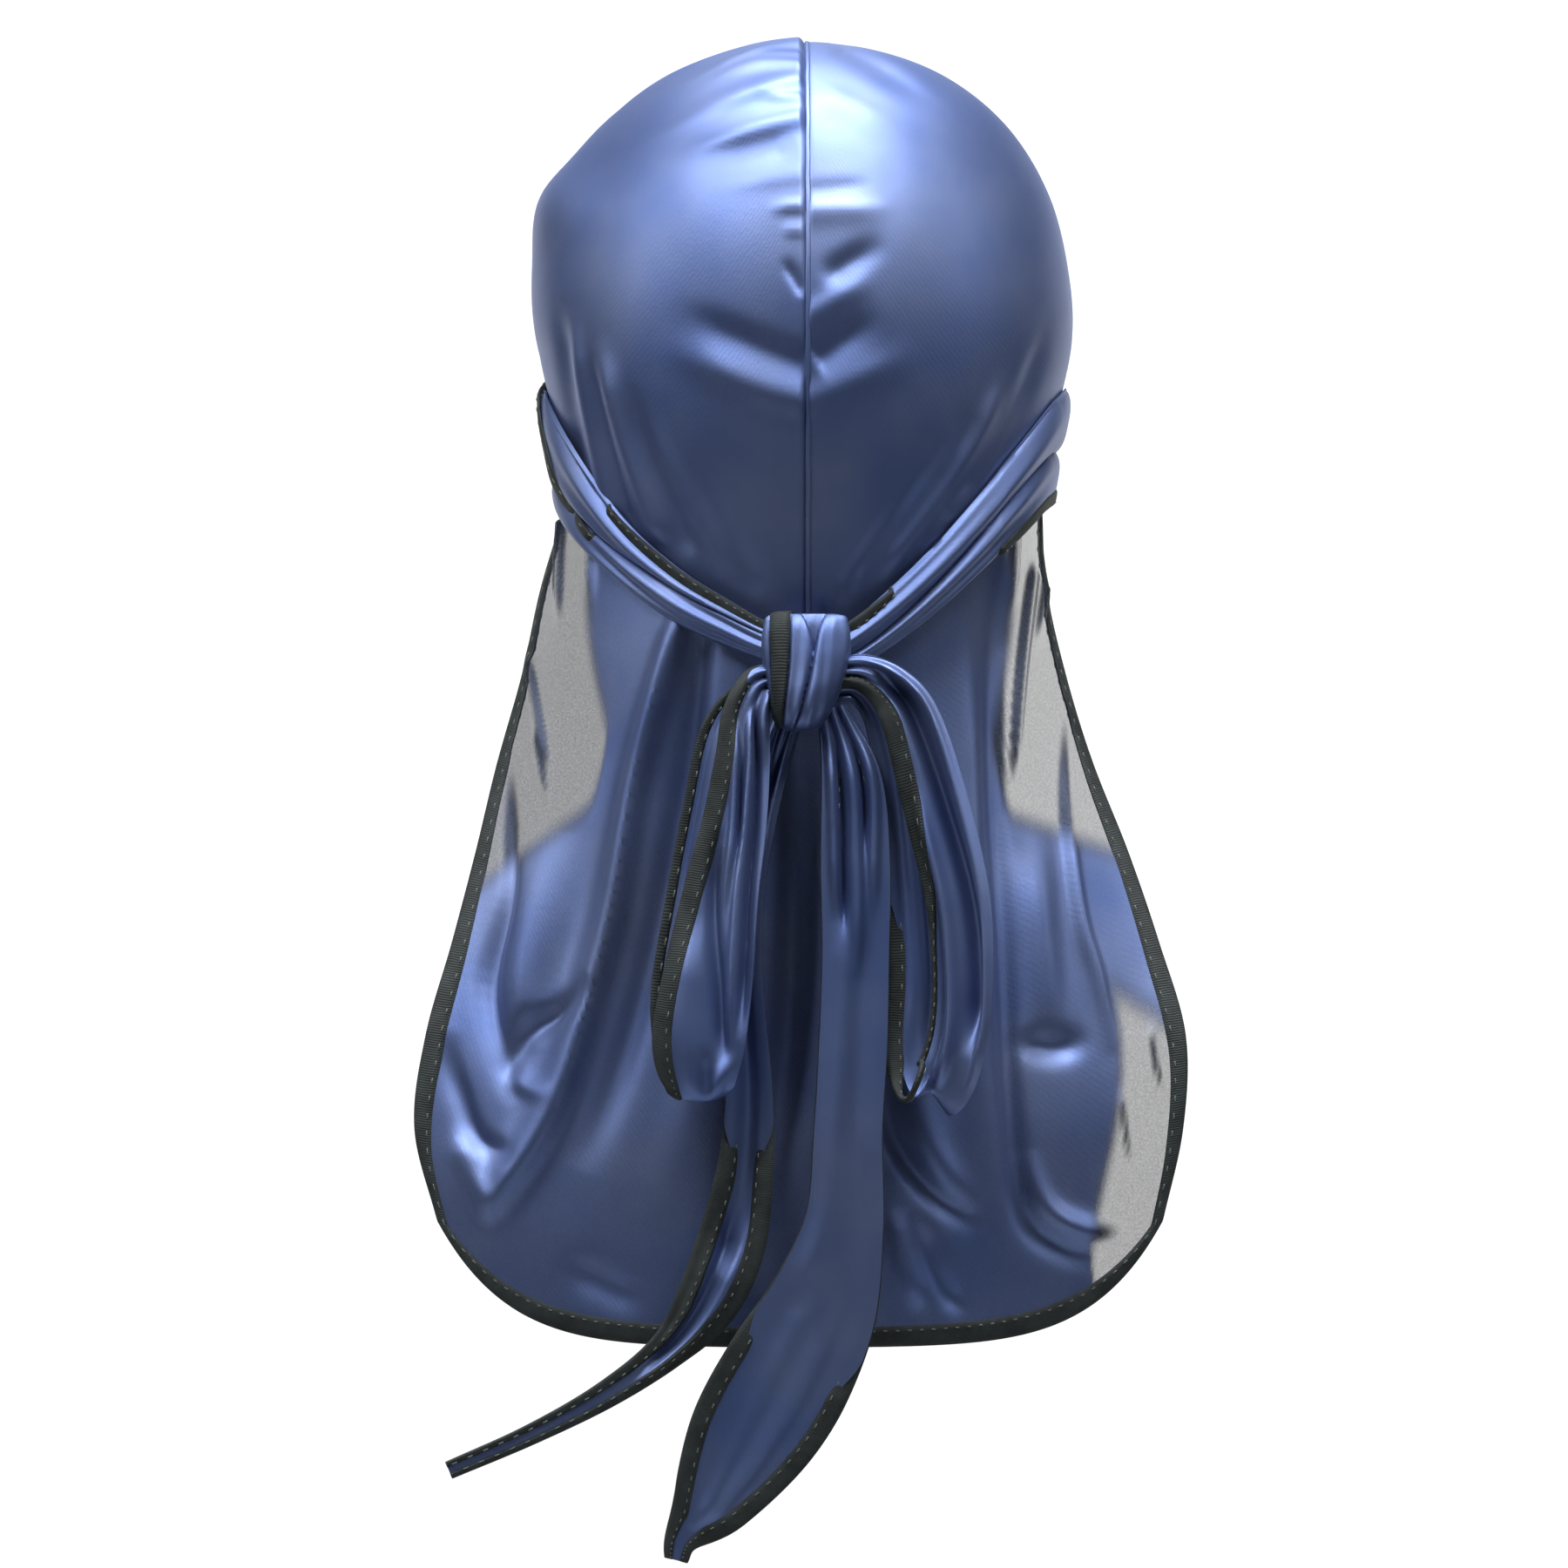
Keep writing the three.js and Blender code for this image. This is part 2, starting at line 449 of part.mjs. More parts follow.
// The share of a band's half width that the tape takes, which is less where the band is narrow.
function tapeShare(band, s) {
  return Math.min(TAPE_WIDTH / ((band.width / 2) * column(band.rows, "half", s)), TAPE_SHARE);
}

// A closed wall round a grid of points: its two faces and its four edges.
function wallOf(stepsAcross, stepsDown, pointAt, thickness) {
  const rows = [];
  for (let j = 0; j <= stepsDown; j += 1) {
    const row = [];
    for (let i = 0; i <= stepsAcross; i += 1) row.push(pointAt(i / stepsAcross, j / stepsDown));
    rows.push(row);
  }
  const faces = [[], []];
  rows.forEach((row, j) => {
    row.forEach((point, i) => {
      const across = row[Math.min(i + 1, stepsAcross)].clone().sub(row[Math.max(i - 1, 0)]);
      const down = rows[Math.min(j + 1, stepsDown)][i].clone().sub(rows[Math.max(j - 1, 0)][i]);
      const normal = across.cross(down);
      if (normal.lengthSq() < 1e-10) normal.copy(OUTWARD);
      normal.normalize().multiplyScalar(thickness / 2);
      faces[0].push(point.clone().add(normal));
      faces[1].push(point.clone().sub(normal));
    });
  });
  const wide = stepsAcross + 1;
  const at = (face, i, j) => faces[face][j * wide + i];
  const corners = [];
  const quad = (a, b, c, d) => corners.push(a, b, c, a, c, d);
  for (let j = 0; j < stepsDown; j += 1) {
    for (let i = 0; i < stepsAcross; i += 1) {
      quad(at(0, i, j), at(0, i + 1, j), at(0, i + 1, j + 1), at(0, i, j + 1));
      quad(at(1, i, j), at(1, i, j + 1), at(1, i + 1, j + 1), at(1, i + 1, j));
    }
    quad(at(0, 0, j), at(0, 0, j + 1), at(1, 0, j + 1), at(1, 0, j));
    quad(at(0, wide - 1, j + 1), at(0, wide - 1, j), at(1, wide - 1, j), at(1, wide - 1, j + 1));
  }
  for (let i = 0; i < stepsAcross; i += 1) {
    quad(at(0, i + 1, 0), at(0, i, 0), at(1, i, 0), at(1, i + 1, 0));
    quad(at(0, i, stepsDown), at(0, i + 1, stepsDown), at(1, i + 1, stepsDown), at(1, i, stepsDown));
  }
  return closedSolid(corners);
}

// A manifold solid from a list of triangle corners, without the triangles that have shrunk to nothing.
function closedSolid(corners) {
  const positions = new Float32Array(corners.flatMap((p) => [p.x, p.y, p.z]));
  const loose = new THREE.BufferGeometry();
  loose.setAttribute("position", new THREE.BufferAttribute(positions, 3));
  const merged = mergeVertices(loose, 1e-3);
  const index = [...merged.index.array];
  const triangles = [];
  for (let i = 0; i < index.length; i += 3) {
    const [a, b, c] = index.slice(i, i + 3);
    if (a !== b && b !== c && c !== a) triangles.push(a, b, c);
  }
  const solid = new wasm.Manifold(
    new wasm.Mesh({
      numProp: 3,
      vertProperties: merged.attributes.position.array,
      triVerts: new Uint32Array(triangles),
    }),
  );
  if (solid.volume() > 0) return solid;
  const turned = triangles.map((_, i) => triangles[i - (i % 3) + 2 - (i % 3)]);
  return new wasm.Manifold(
    new wasm.Mesh({
      numProp: 3,
      vertProperties: merged.attributes.position.array,
      triVerts: new Uint32Array(turned),
    }),
  );
}

// The knot, grown all round by a clearance.
function knotSolid(grown) {
  const ring = (i, j) => {
    const share = j / KNOT_DOWN;
    const turn = (2 * Math.PI * i) / KNOT_AROUND;
    const front = Math.max(0, -Math.sin(turn));
    const across = Math.cos(turn);
    const wrap = Math.cos(across * KNOT_WRAPS * Math.PI) * 0.5 - 0.5;
    const swell = 1 + KNOT_GROOVE * wrap * front * front;
    return new THREE.Vector3(
      across * (KNOT_WIDTH / 2) * column(KNOT_RINGS, "width", share),
      Math.sin(turn) * (KNOT_DEPTH / 2) * column(KNOT_RINGS, "depth", share) * swell,
      KNOT_HEIGHT * column(KNOT_RINGS, "up", share),
    ).multiplyScalar(1 + grown / (KNOT_DEPTH / 2)).add(KNOT_MIDDLE);
  };
  const corners = [];
  for (let j = 0; j < KNOT_DOWN; j += 1) {
    for (let i = 0; i < KNOT_AROUND; i += 1) {
      const [a, b, c, d] = [ring(i, j), ring(i + 1, j), ring(i + 1, j + 1), ring(i, j + 1)];
      corners.push(a, c, b, a, d, c);
    }
  }
  return closedSolid(corners);
}

const satin = () => new THREE.MeshStandardMaterial({ color: 0x3d5590, roughness: 0.38, metalness: 0 });
const tape = () => new THREE.MeshStandardMaterial({ color: 0x1c2421, roughness: 0.55, metalness: 0 });

const durag = new THREE.Group();

function addPiece(name, solid, material) {
  const mesh = solid.getMesh();
  const geometry = new THREE.BufferGeometry();
  const places = new Float32Array(mesh.numVert * 3);
  for (let i = 0; i < mesh.numVert; i += 1) {
    places.set(mesh.vertProperties.subarray(i * mesh.numProp, i * mesh.numProp + 3), i * 3);
  }
  geometry.setAttribute("position", new THREE.BufferAttribute(places, 3));
  geometry.setIndex(new THREE.BufferAttribute(mesh.triVerts, 1));
  geometry.computeVertexNormals();
  const piece = new THREE.Mesh(geometry, material);
  piece.name = name;
  durag.add(piece);
}

// The crown's two panels, whose facets are closer together at the back, where the folds are.
for (const [name, hand] of [["crown_left", -1], ["crown_right", 1]]) {
  const panel = wallOf(PANEL_AROUND, PANEL_DOWN, (i, j) => {
    const place = crownAt(hand * Math.PI * i ** BACK_FINER, j ** TOP_FINER);
    place.x += (hand * SEWN_GAP) / 2;
    return place;
  }, SATIN_WALL);
  addPiece(name, panel, satin());
}

// The seam's raised ridge, over the top from just above the knot to the brow.
const seamLift = SATIN_WALL / 2 + LAID_GAP + SEAM_HEIGHT / 2;
const midline = (along) => bareCrown(along < 0 ? 0 : Math.PI, Math.abs(along));
const seam = wallOf(1, SEAM_STEPS, (i, j) => {
  const along = lerp(-SEAM_START, 1, j);
  const run = midline(Math.min(along + 0.01, 1)).sub(midline(along - 0.01)).normalize();
  const out = new THREE.Vector3(0, -run.z, run.y);
  const place = midline(along).addScaledVector(out, seamLift);
  place.x = (i - 0.5) * SEAM_WIDTH;
  return place;
}, SEAM_HEIGHT);
addPiece("centre_seam", seam, satin());

// Tape round the crown's front edge.
const browTape = wallOf(1, BROW_STEPS, (i, j) => {
  const turn = Math.PI + lerp(-BROW_REACH, BROW_REACH, j) * DEGREE;
  return pastRim(turn, SEWN_GAP + TAPE_WIDTH * i);
}, TAPE_WALL);
addPiece("brow_tape", browTape, tape());

// The cape, and the tape round its sides and hem.
const cape = wallOf(HEM_STEPS, SIDE_STEPS, (i, j) => capeAt(2 * i - 1, j, TAPE_WIDTH + SEWN_GAP), SATIN_WALL);
addPiece("cape", cape, satin());
const edgeSteps = 2 * SIDE_STEPS + HEM_STEPS;
const capeTape = wallOf(1, edgeSteps, (i, j) => {
  const step = Math.round(j * edgeSteps);
  const inset = TAPE_WIDTH * i;
  if (step < SIDE_STEPS) return capeAt(-1, step / SIDE_STEPS, inset);
  if (step > SIDE_STEPS + HEM_STEPS) return capeAt(1, (edgeSteps - step) / SIDE_STEPS, inset);
  return capeAt((2 * (step - SIDE_STEPS)) / HEM_STEPS - 1, 1, inset);
}, TAPE_WALL);
addPiece("cape_tape", capeTape, tape());

// The knot, and what it holds: each tie, loop and tail runs into it and is cut clear of it.
addPiece("knot", knotSolid(0), satin());
const knotSpace = knotSolid(SEWN_GAP);

function addHeld(name, solid, material) {
  const parts = solid.subtract(knotSpace).decompose();
  parts.sort((a, b) => b.volume() - a.volume());
  addPiece(name, parts[0], material);
}

for (const [side, hand, tapedEdge] of [["left", -1, 1], ["right", 1, -1]]) {
  const tapeEdge = (s) => 1 - TAPE_WIDTH / tieFrame(hand, s).half;
  const band = wallOf(TIE_ACROSS, TIE_STEPS, (i, j) => {
    const inner = tapeEdge(j) - SEWN_GAP / tieFrame(hand, j).half;
    return tieAt(hand, j, tapedEdge * lerp(-1, inner, i));
  }, TIE_WALL);
  const edge = wallOf(1, TIE_STEPS, (i, j) => tieAt(hand, j, tapedEdge * lerp(tapeEdge(j), 1, i)), TAPE_WALL);
  addHeld("tie_" + side, band, satin());
  addHeld("tie_" + side + "_tape", edge, tape());
}

// taped lists the edges where the tape shows: -1 is the inner edge, and 1 the outer one.
const BANDS = [
  { name: "loop_left", rows: LEFT_LOOP, hand: -1, swing: LEFT_LOOP_SWING, length: LOOP_LENGTH,
    width: LOOP_WIDTH, steps: 28, taped: { outer: 1 } },
  { name: "loop_right", rows: RIGHT_LOOP, hand: 1, swing: RIGHT_LOOP_SWING, length: LOOP_LENGTH,
    width: LOOP_WIDTH, steps: 28, taped: { inner: -1 } },
  { name: "tail_left", rows: LEFT_TAIL, hand: -1, swing: LEFT_TAIL_SWING, length: LEFT_TAIL_LENGTH,
    width: LEFT_TAIL_WIDTH, steps: 24, taped: { inner: -1, outer: 1 } },
  { name: "tail_right", rows: RIGHT_TAIL, hand: 1, swing: RIGHT_TAIL_SWING, length: RIGHT_TAIL_LENGTH,
    width: RIGHT_TAIL_WIDTH, steps: 24, taped: { inner: -1, outer: 1 } },
];
for (const band of BANDS) {
  const edges = Object.values(band.taped);
  const clothEdge = (s, edge) => {
    if (!edges.includes(edge)) return edge;
    return edge * (1 - tapeShare(band, s) - (2 * SEWN_GAP) / (band.width * column(band.rows, "half", s)));
  };
  const cloth = wallOf(BAND_ACROSS, band.steps, (i, j) => {
    return bandAt(band, j, lerp(clothEdge(j, -1), clothEdge(j, 1), i));
  }, SATIN_WALL);
  addHeld(band.name, cloth, satin());
  for (const [edgeName, edge] of Object.entries(band.taped)) {
    const strip = wallOf(1, band.steps, (i, j) => {
      return bandAt(band, j, edge * lerp(1 - tapeShare(band, j), 1, i));
    }, TAPE_WALL);
    addHeld(band.name + "_" + edgeName + "_tape", strip, tape());
  }
}

export default durag;
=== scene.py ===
import math

import bpy
import numpy as np
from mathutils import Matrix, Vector


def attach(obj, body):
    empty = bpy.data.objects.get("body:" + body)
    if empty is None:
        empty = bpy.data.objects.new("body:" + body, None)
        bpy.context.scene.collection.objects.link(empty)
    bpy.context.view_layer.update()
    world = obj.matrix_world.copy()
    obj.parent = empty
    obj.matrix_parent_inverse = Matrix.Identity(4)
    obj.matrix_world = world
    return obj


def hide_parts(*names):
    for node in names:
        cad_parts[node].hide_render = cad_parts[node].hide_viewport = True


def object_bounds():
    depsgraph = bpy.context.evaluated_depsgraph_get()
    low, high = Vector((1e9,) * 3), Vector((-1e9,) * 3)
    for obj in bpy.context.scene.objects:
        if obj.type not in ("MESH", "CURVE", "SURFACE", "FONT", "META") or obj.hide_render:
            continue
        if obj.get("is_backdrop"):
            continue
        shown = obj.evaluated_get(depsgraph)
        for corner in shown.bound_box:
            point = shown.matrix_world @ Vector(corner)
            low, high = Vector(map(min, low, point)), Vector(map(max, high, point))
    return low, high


# A satin durag in its worn form, tied in a bow at the nape. The surfaces are the part's own, in
# millimetres, drawn with their folds. Blender gets them in metres. +Z is up and +Y is to the front.
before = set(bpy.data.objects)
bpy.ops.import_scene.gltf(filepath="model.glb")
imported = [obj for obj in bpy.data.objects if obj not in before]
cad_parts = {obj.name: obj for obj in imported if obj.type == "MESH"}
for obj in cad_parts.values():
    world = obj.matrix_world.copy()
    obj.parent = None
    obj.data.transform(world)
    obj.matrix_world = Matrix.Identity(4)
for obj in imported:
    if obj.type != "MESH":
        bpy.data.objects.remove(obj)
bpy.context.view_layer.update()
MM = 0.001
DEGREE = math.pi / 180
SMOOTH_ANGLE = math.radians(50)

# The part's sizes, in millimetres
HEAD_WIDTH = 158
HEAD_LENGTH = 196
NAPE_DROP = 178
SIDE_DROP = 134
BROW_DROP = 62
CAPE_WIDTH = 220
CAPE_LENGTH = 198
CAPE_CORNERS = 33
CAPE_LEAN = 3.3
CAPE_OPENING = 85 * DEGREE
CAPE_EDGE_SWEEP = 64
CAPE_BACK_SWEEP = 14
HEM_ROUNDNESS = 4.9
TIE_WIDTH = 36
TIE_REACH = 134 * DEGREE
KNOT_WIDTH = 25
KNOT_HEIGHT = 33
KNOT_DEPTH = 17
KNOT_DROP = 10
LAYER = 4
FIRST_LAYER = 0.6
LOOP_LENGTH = 116
LOOP_WIDTH = 27
LEFT_LOOP_SWING = 31
RIGHT_LOOP_SWING = 42
LEFT_TAIL_LENGTH = 221
LEFT_TAIL_SWING = 99
LEFT_TAIL_WIDTH = 19
RIGHT_TAIL_LENGTH = 245
RIGHT_TAIL_SWING = 36
RIGHT_TAIL_WIDTH = 36
TAPE_WIDTH = 5.6
TAPE_WALL = 1.8
WALL = 1
SEWN_GAP = 0.6
LAID_GAP = 0.5

# Thicknesses that show
CLOTH = 0.45
FOLDED_CLOTH = 0.7
SHEER_CLOTH = 0.35
TAPE = 1.5
WELT = 1.1
STITCH = 4.4  # a stitch on one face and the next on the other
STITCH_LINE = 0.78  # the share of the tape's width from its outer edge to the stitches
THREAD_WIDTH = 0.42
TUCK = 1.6  # how far the cloth goes in between the two sides of its tape
UNDER_TIE = 1.2  # from the cloth under a tie to the middle of the tie
RIB_FOOT = 0.7  # how far a tie's creases go in from its middle
TAPE_ON_TIE = 0.7  # from a tie's cloth to the middle of its tape
DIVE = 2.4  # how far a tie's tape goes down under the cloth at its ends
HIDDEN = 1.7  # how far a band's tape lies behind its cloth where it is turned away
SEAM_GROOVE = 0.7

# What the sheets were cut to: the length of cloth in each loop and tail, in millimetres
LOOP_CUT = 300
TAIL_CUT = 260
LOOP_TURN = 0.53  # the share of a loop's length where it turns up again


def table(names, *rows):
    """A table whose columns are called by name."""
    return dict(zip(names.split(), np.array(rows, float).T))


MERIDIANS = table(
    "back_out back_down side_out side_down front_out front_down",
    (0, 0, 0, 0, 0, 0),
    (0.28, 0.019, 0.285, 0.022, 0.19, 0.018),
    (0.54, 0.074, 0.55, 0.085, 0.37, 0.075),
    (0.76, 0.168, 0.77, 0.195, 0.53, 0.17),
    (0.905, 0.3, 0.92, 0.345, 0.67, 0.3),
    (0.985, 0.46, 0.99, 0.515, 0.78, 0.45),
    (1, 0.64, 1, 0.66, 0.86, 0.62),
    (0.965, 0.82, 0.945, 0.82, 0.92, 0.8),
    (0.9, 1, 0.885, 1, 0.955, 1),
)

# Short folds that run over a surface as it is seen from the back, in millimetres: each starts at x, z,
# bends towards bend_x, bend_z and ends at end_x, end_z. It stands up by height, or is a valley where that
# is below 0. left and right are its widths on either hand as it runs, and it rises and fades over shares
# of its length.
FOLD_COLUMNS = "x z bend_x bend_z end_x end_z left right height rise fade"
LEFT_FOLDS = table(
    FOLD_COLUMNS,
    # gathers that leave the seam at the top
    (-1, -1, -12, 1, -36, -8, 2.2, 3, 1.1, 0, 0.7),
    (-1, -4, -13, -4, -38, -18, 1.8, 3, 1.3, 0, 0.6),
    (-1, -9, -10, -7, -20, -10, 1.6, 2, 0.8, 0, 0.6),
    (-1, -13, -16, -9, -30, -17, 2, 3, 1.2, 0, 0.6),
    (-1, -18, -18, -22, -52, -38, 2, 4.4, 1.6, 0, 0.7),
    (-1, -24, -8, -24, -16, -22, 1.6, 2, 0.8, 0, 0.6),
    (-1, -31, -15, -34, -38, -41, 2.2, 3.4, 1.5, 0, 0.5),
    (-3, -37, -18, -43, -36, -47, 3.4, 4, -0.9, 0.2, 0.6),
    (-1, -48, -12, -49, -26, -52, 2.2, 3.4, 0.4, 0, 0.6),
    (-1, -57, -5, -57, -12, -58, 1.4, 1.8, 0.8, 0, 0.6),
    (-1, -64, -4, -64, -8, -64, 1.4, 1.8, 0.5, 0, 0.6),
    (-1, -82, -4, -76, -7, -72, 1.4, 2, -1, 0.1, 0.5),
    # the broad V
    (-1, -101, -17, -96, -38, -84, 4.6, 3.6, -1.6, 0, 0.5),
    (-2, -112, -20, -108, -42, -92, 4.6, 4.6, 1.6, 0, 0.5),
    # tension folds that run down into the tie
    (-71, -78, -69, -108, -63, -142, 2.6, 2.2, -1.6, 0.3, 0.1),
    (-67, -82, -63, -114, -54, -146, 2.2, 2.4, 1.6, 0.3, 0.1),
    (-63, -92, -59, -117, -49, -148, 2.2, 2.4, -1.6, 0.3, 0.1),
    (-59, -92, -53, -120, -40, -151, 3, 2.8, 1.9, 0.3, 0.1),
    (-53, -102, -46, -126, -31, -155, 3.4, 3.4, -1.4, 0.4, 0.1),
    (-47, -112, -38, -132, -20, -160, 3.6, 3.2, 0.9, 0.4, 0.1),
    (-34, -122, -26, -142, -12, -166, 3.4, 3.4, -0.9, 0.4, 0.1),
)
RIGHT_FOLDS = table(
    FOLD_COLUMNS,
    (6, -1, 21, -11, 42, -28, 3, 5, -1, 0.2, 0.5),
    (2, -20, 18, -30, 36, -37, 4, 5, 0.7, 0.2, 0.6),
    # the bright patch by the seam, with the dark fold over it
    (1, -52, 10, -51, 21, -50, 2.2, 2.2, -0.5, 0, 0.5),
    (1, -58, 12, -57, 26, -57, 2, 4.4, 0.9, 0, 0.5),
    # the V's right half
    (4, -79, 12, -72, 24, -66, 3.4, 3.4, -1.5, 0.3, 0.5),
    (1, -88, 9, -83, 20, -76, 3, 3.4, 0.9, 0, 0.5),
    (2, -101, 10, -96, 22, -86, 3.8, 4, -1.6, 0.1, 0.5),
    (1, -112, 12, -108, 34, -95, 4.4, 5, 1.3, 0, 0.5),
    # tension folds that run down into the tie
    (71, -82, 63, -112, 44, -138, 2.8, 2.6, -1.4, 0.4, 0.1),
    (66, -98, 57, -122, 38, -146, 2.2, 2.8, 1.2, 0.4, 0.1),
    (57, -102, 46, -127, 20, -160, 2.8, 2.4, 1.7, 0.3, 0.1),
    (51, -111, 40, -131, 14, -163, 2, 2.2, -1.5, 0.3, 0.1),
    (47, -116, 37, -134, 11, -166, 1.8, 2.4, 1.5, 0.3, 0.1),
    (40, -118, 28, -138, 6, -168, 3.2, 3.2, -1.4, 0.4, 0.1),
    (32, -126, 20, -146, 3, -170, 2.6, 2.6, 0.9, 0.4, 0.1),
)
# Long folds: the rows with one number are points on the same fold, from its top down.
PATH_COLUMNS = "fold x z left right height"
# The ridge where the cloth turns at the crown's left side
LEFT_CORNER = table(
    PATH_COLUMNS,
    (1, -60, -16, 9, 9, 0),
    (1, -70, -32, 10, 10, 2.4),
    (1, -76, -48, 12, 10, 6.4),
    (1, -79, -66, 12, 12, 3.4),
    (1, -80, -92, 12, 12, 0),
)
SHORT_CAPE_FOLDS = table(
    FOLD_COLUMNS,
    # streaks in the left wing
    (-71, -143, -72, -158, -71, -178, 1.3, 1.3, 2.4, 0, 0.5),
    (-62, -148, -62, -157, -62, -170, 1.3, 1.3, 2, 0, 0.5),
    (-82, -176, -77, -200, -73, -220, 1.2, 1.5, 2.4, 0.3, 0.4),
    (-79, -200, -76, -214, -74, -226, 1, 1.2, 1.8, 0.3, 0.4),
    (-84, -300, -78, -308, -68, -306, 3, 3, 1.4, 0.3, 0.5),
    (-72, -352, -56, -360, -42, -366, 5, 5, -1.8, 0.4, 0.4),
    (-98, -316, -96, -332, -84, -342, 3, 4, 1.8, 0.3, 0.5),
    # streaks in the right wing
    (60, -143, 60, -160, 57, -180, 1.6, 1.6, 2.4, 0, 0.5),
    (67, -152, 60, -192, 59, -226, 1.4, 1.8, 2.8, 0.1, 0.3),
    (72, -150, 70, -166, 66, -182, 1.3, 1.5, 1.8, 0.1, 0.4),
    (99, -286, 99, -298, 103, -310, 1, 1.4, 1.8, 0.3, 0.4),
    (90, -304, 90, -316, 93, -332, 1.2, 1.4, 1.6, 0.3, 0.4),
    (60, -288, 68, -298, 82, -290, 4, 4, -2.4, 0.4, 0.4),
    (24, -334, 26, -354, 34, -367, 3.4, 3, 2, 0.3, 0.3),
    (32, -338, 35, -360, 46, -368, 3, 3.4, -2, 0.3, 0.3),
)
LONG_CAPE_FOLDS = table(
    PATH_COLUMNS,
    # the crisp ridge down the left
    (1, -33, -166, 2.5, 4, 0.8),
    (1, -38, -184, 2, 4.6, 4.4),
    (1, -46, -218, 2, 5.4, 5.8),
    (1, -53, -258, 2, 6.4, 6.2),
    (1, -63, -294, 2.1, 7.5, 6.2),
    (1, -72, -316, 2.6, 8, 5.8),
    (1, -84, -333, 3.4, 6, 4.4),
    (1, -93, -344, 3.4, 4, 0),
    # the dark fold beside it
    (2, -27, -172, 3, 4, 0),
    (2, -31, -186, 4, 4, -4),
    (2, -36, -219, 5, 4, -5.4),
    (2, -44, -263, 5, 4, -4.4),
    (2, -54, -302, 5, 4, -2.6),
    (2, -63, -328, 5, 4, 0),
    # the hollow behind the loops and tails
    (3, -2, -184, 8, 8, -2),
    (3, -3, -226, 9, 9, -8),
    (3, -5, -282, 9, 9, -9),
    (3, -9, -330, 9, 9, -5),
    (3, -12, -362, 9, 9, 0),
    # left of the ridge
    (4, -86, -208, 2.2, 2.4, 0),
    (4, -85, -232, 2.2, 2.6, -2.4),
    (4, -85, -252, 2.4, 3, -3),
    (4, -90, -276, 2.8, 3.6, -3.4),
    (4, -86, -298, 3, 3.6, -1.8),
    (4, -82, -310, 3, 3.6, 0),
    (5, -74, -232, 8, 8, 0),
    (5, -76, -254, 7, 8, 3.4),
    (5, -79, -278, 5, 7, 3.8),
    (5, -78, -296, 5, 6, 0),
    (6, -58, -274, 4, 4, 0),
    (6, -68, -283, 4, 3, -2.6),
    (6, -79, -290, 4, 3, -3.2),
    (6, -86, -303, 4, 3, 0),
    (7, -103, -290, 3, 4, 0),
    (7, -99, -306, 3, 3, -2.8),
    (7, -93, -320, 3, 3, -2.8),
    (7, -80, -325, 3, 3, 0),
    (8, -16, -200, 7, 7, 0),
    (8, -20, -240, 7, 7, 3),
    (8, -26, -290, 8, 7, 3.4),
    (8, -40, -345, 8, 8, 0),
    # the dark fold down the right, that turns out over the hem
    (9, 55, -146, 3, 5, 0),
    (9, 54, -186, 3.4, 5, -2.6),
    (9, 54, -224, 3.4, 5, -3.4),
    (9, 56, -262, 3, 5, -3),
    (9, 58, -307, 3, 4, -3.6),
    (9, 62, -338, 2.6, 4, -3.2),
    (9, 72, -350, 2.6, 4, -1.8),
    (9, 86, -354, 2.6, 4, 0),
    (10, 62, -322, 3, 3, 0),
    (10, 67, -338, 3.4, 3, 2.6),
    (10, 78, -345, 3.6, 3, 2.8),
    (10, 92, -346, 3.6, 3, 0),
    (11, 47, -170, 5, 5, 0),
    (11, 47, -220, 5, 5, 2.8),
    (11, 48, -280, 6, 6, 3.4),
    (11, 51, -330, 6, 6, 1),
    (11, 54, -356, 6, 6, 0),
    (12, 30, -190, 7, 6, 0),
    (12, 32, -240, 7, 6, 2.2),
    (12, 30, -290, 7, 6, 2.4),
    (12, 34, -320, 4.6, 3.6, 3),
    (12, 48, -338, 4, 3.6, 0),
    (13, 20, -296, 3, 4, 0),
    (13, 25, -318, 3, 4, -2.8),
    (13, 36, -334, 3, 4, -2.8),
    (13, 50, -344, 3, 4, 0),
    (14, 76, -192, 1.6, 2, 0),
    (14, 75, -226, 1.6, 2.2, 2.8),
    (14, 78, -256, 1.8, 2.4, 3),
    (14, 83, -274, 2, 2.6, 2.6),
    (14, 88, -296, 2, 2.6, 0),
    (15, 66, -230, 5, 5, 0),
    (15, 66, -252, 5, 5, 2.6),
    (15, 68, -276, 5, 5, 2),
    (15, 70, -292, 5, 5, 0),
)
# Where the cape is a single sheer layer: right of inner where hand is 1 and left of it where hand is -1,
# from top down to bottom, which rises or falls by slope towards the outside. It lets through the more
# light the thinner it is.
WINDOWS = table(
    "hand inner top bottom slope thin",
    (-1, -57, 0, -228, -0.7, 0.46),
    (1, 54, 0, -232, -0.35, 0.58),
    (1, 84, -268, -400, 0, 0.56),
)

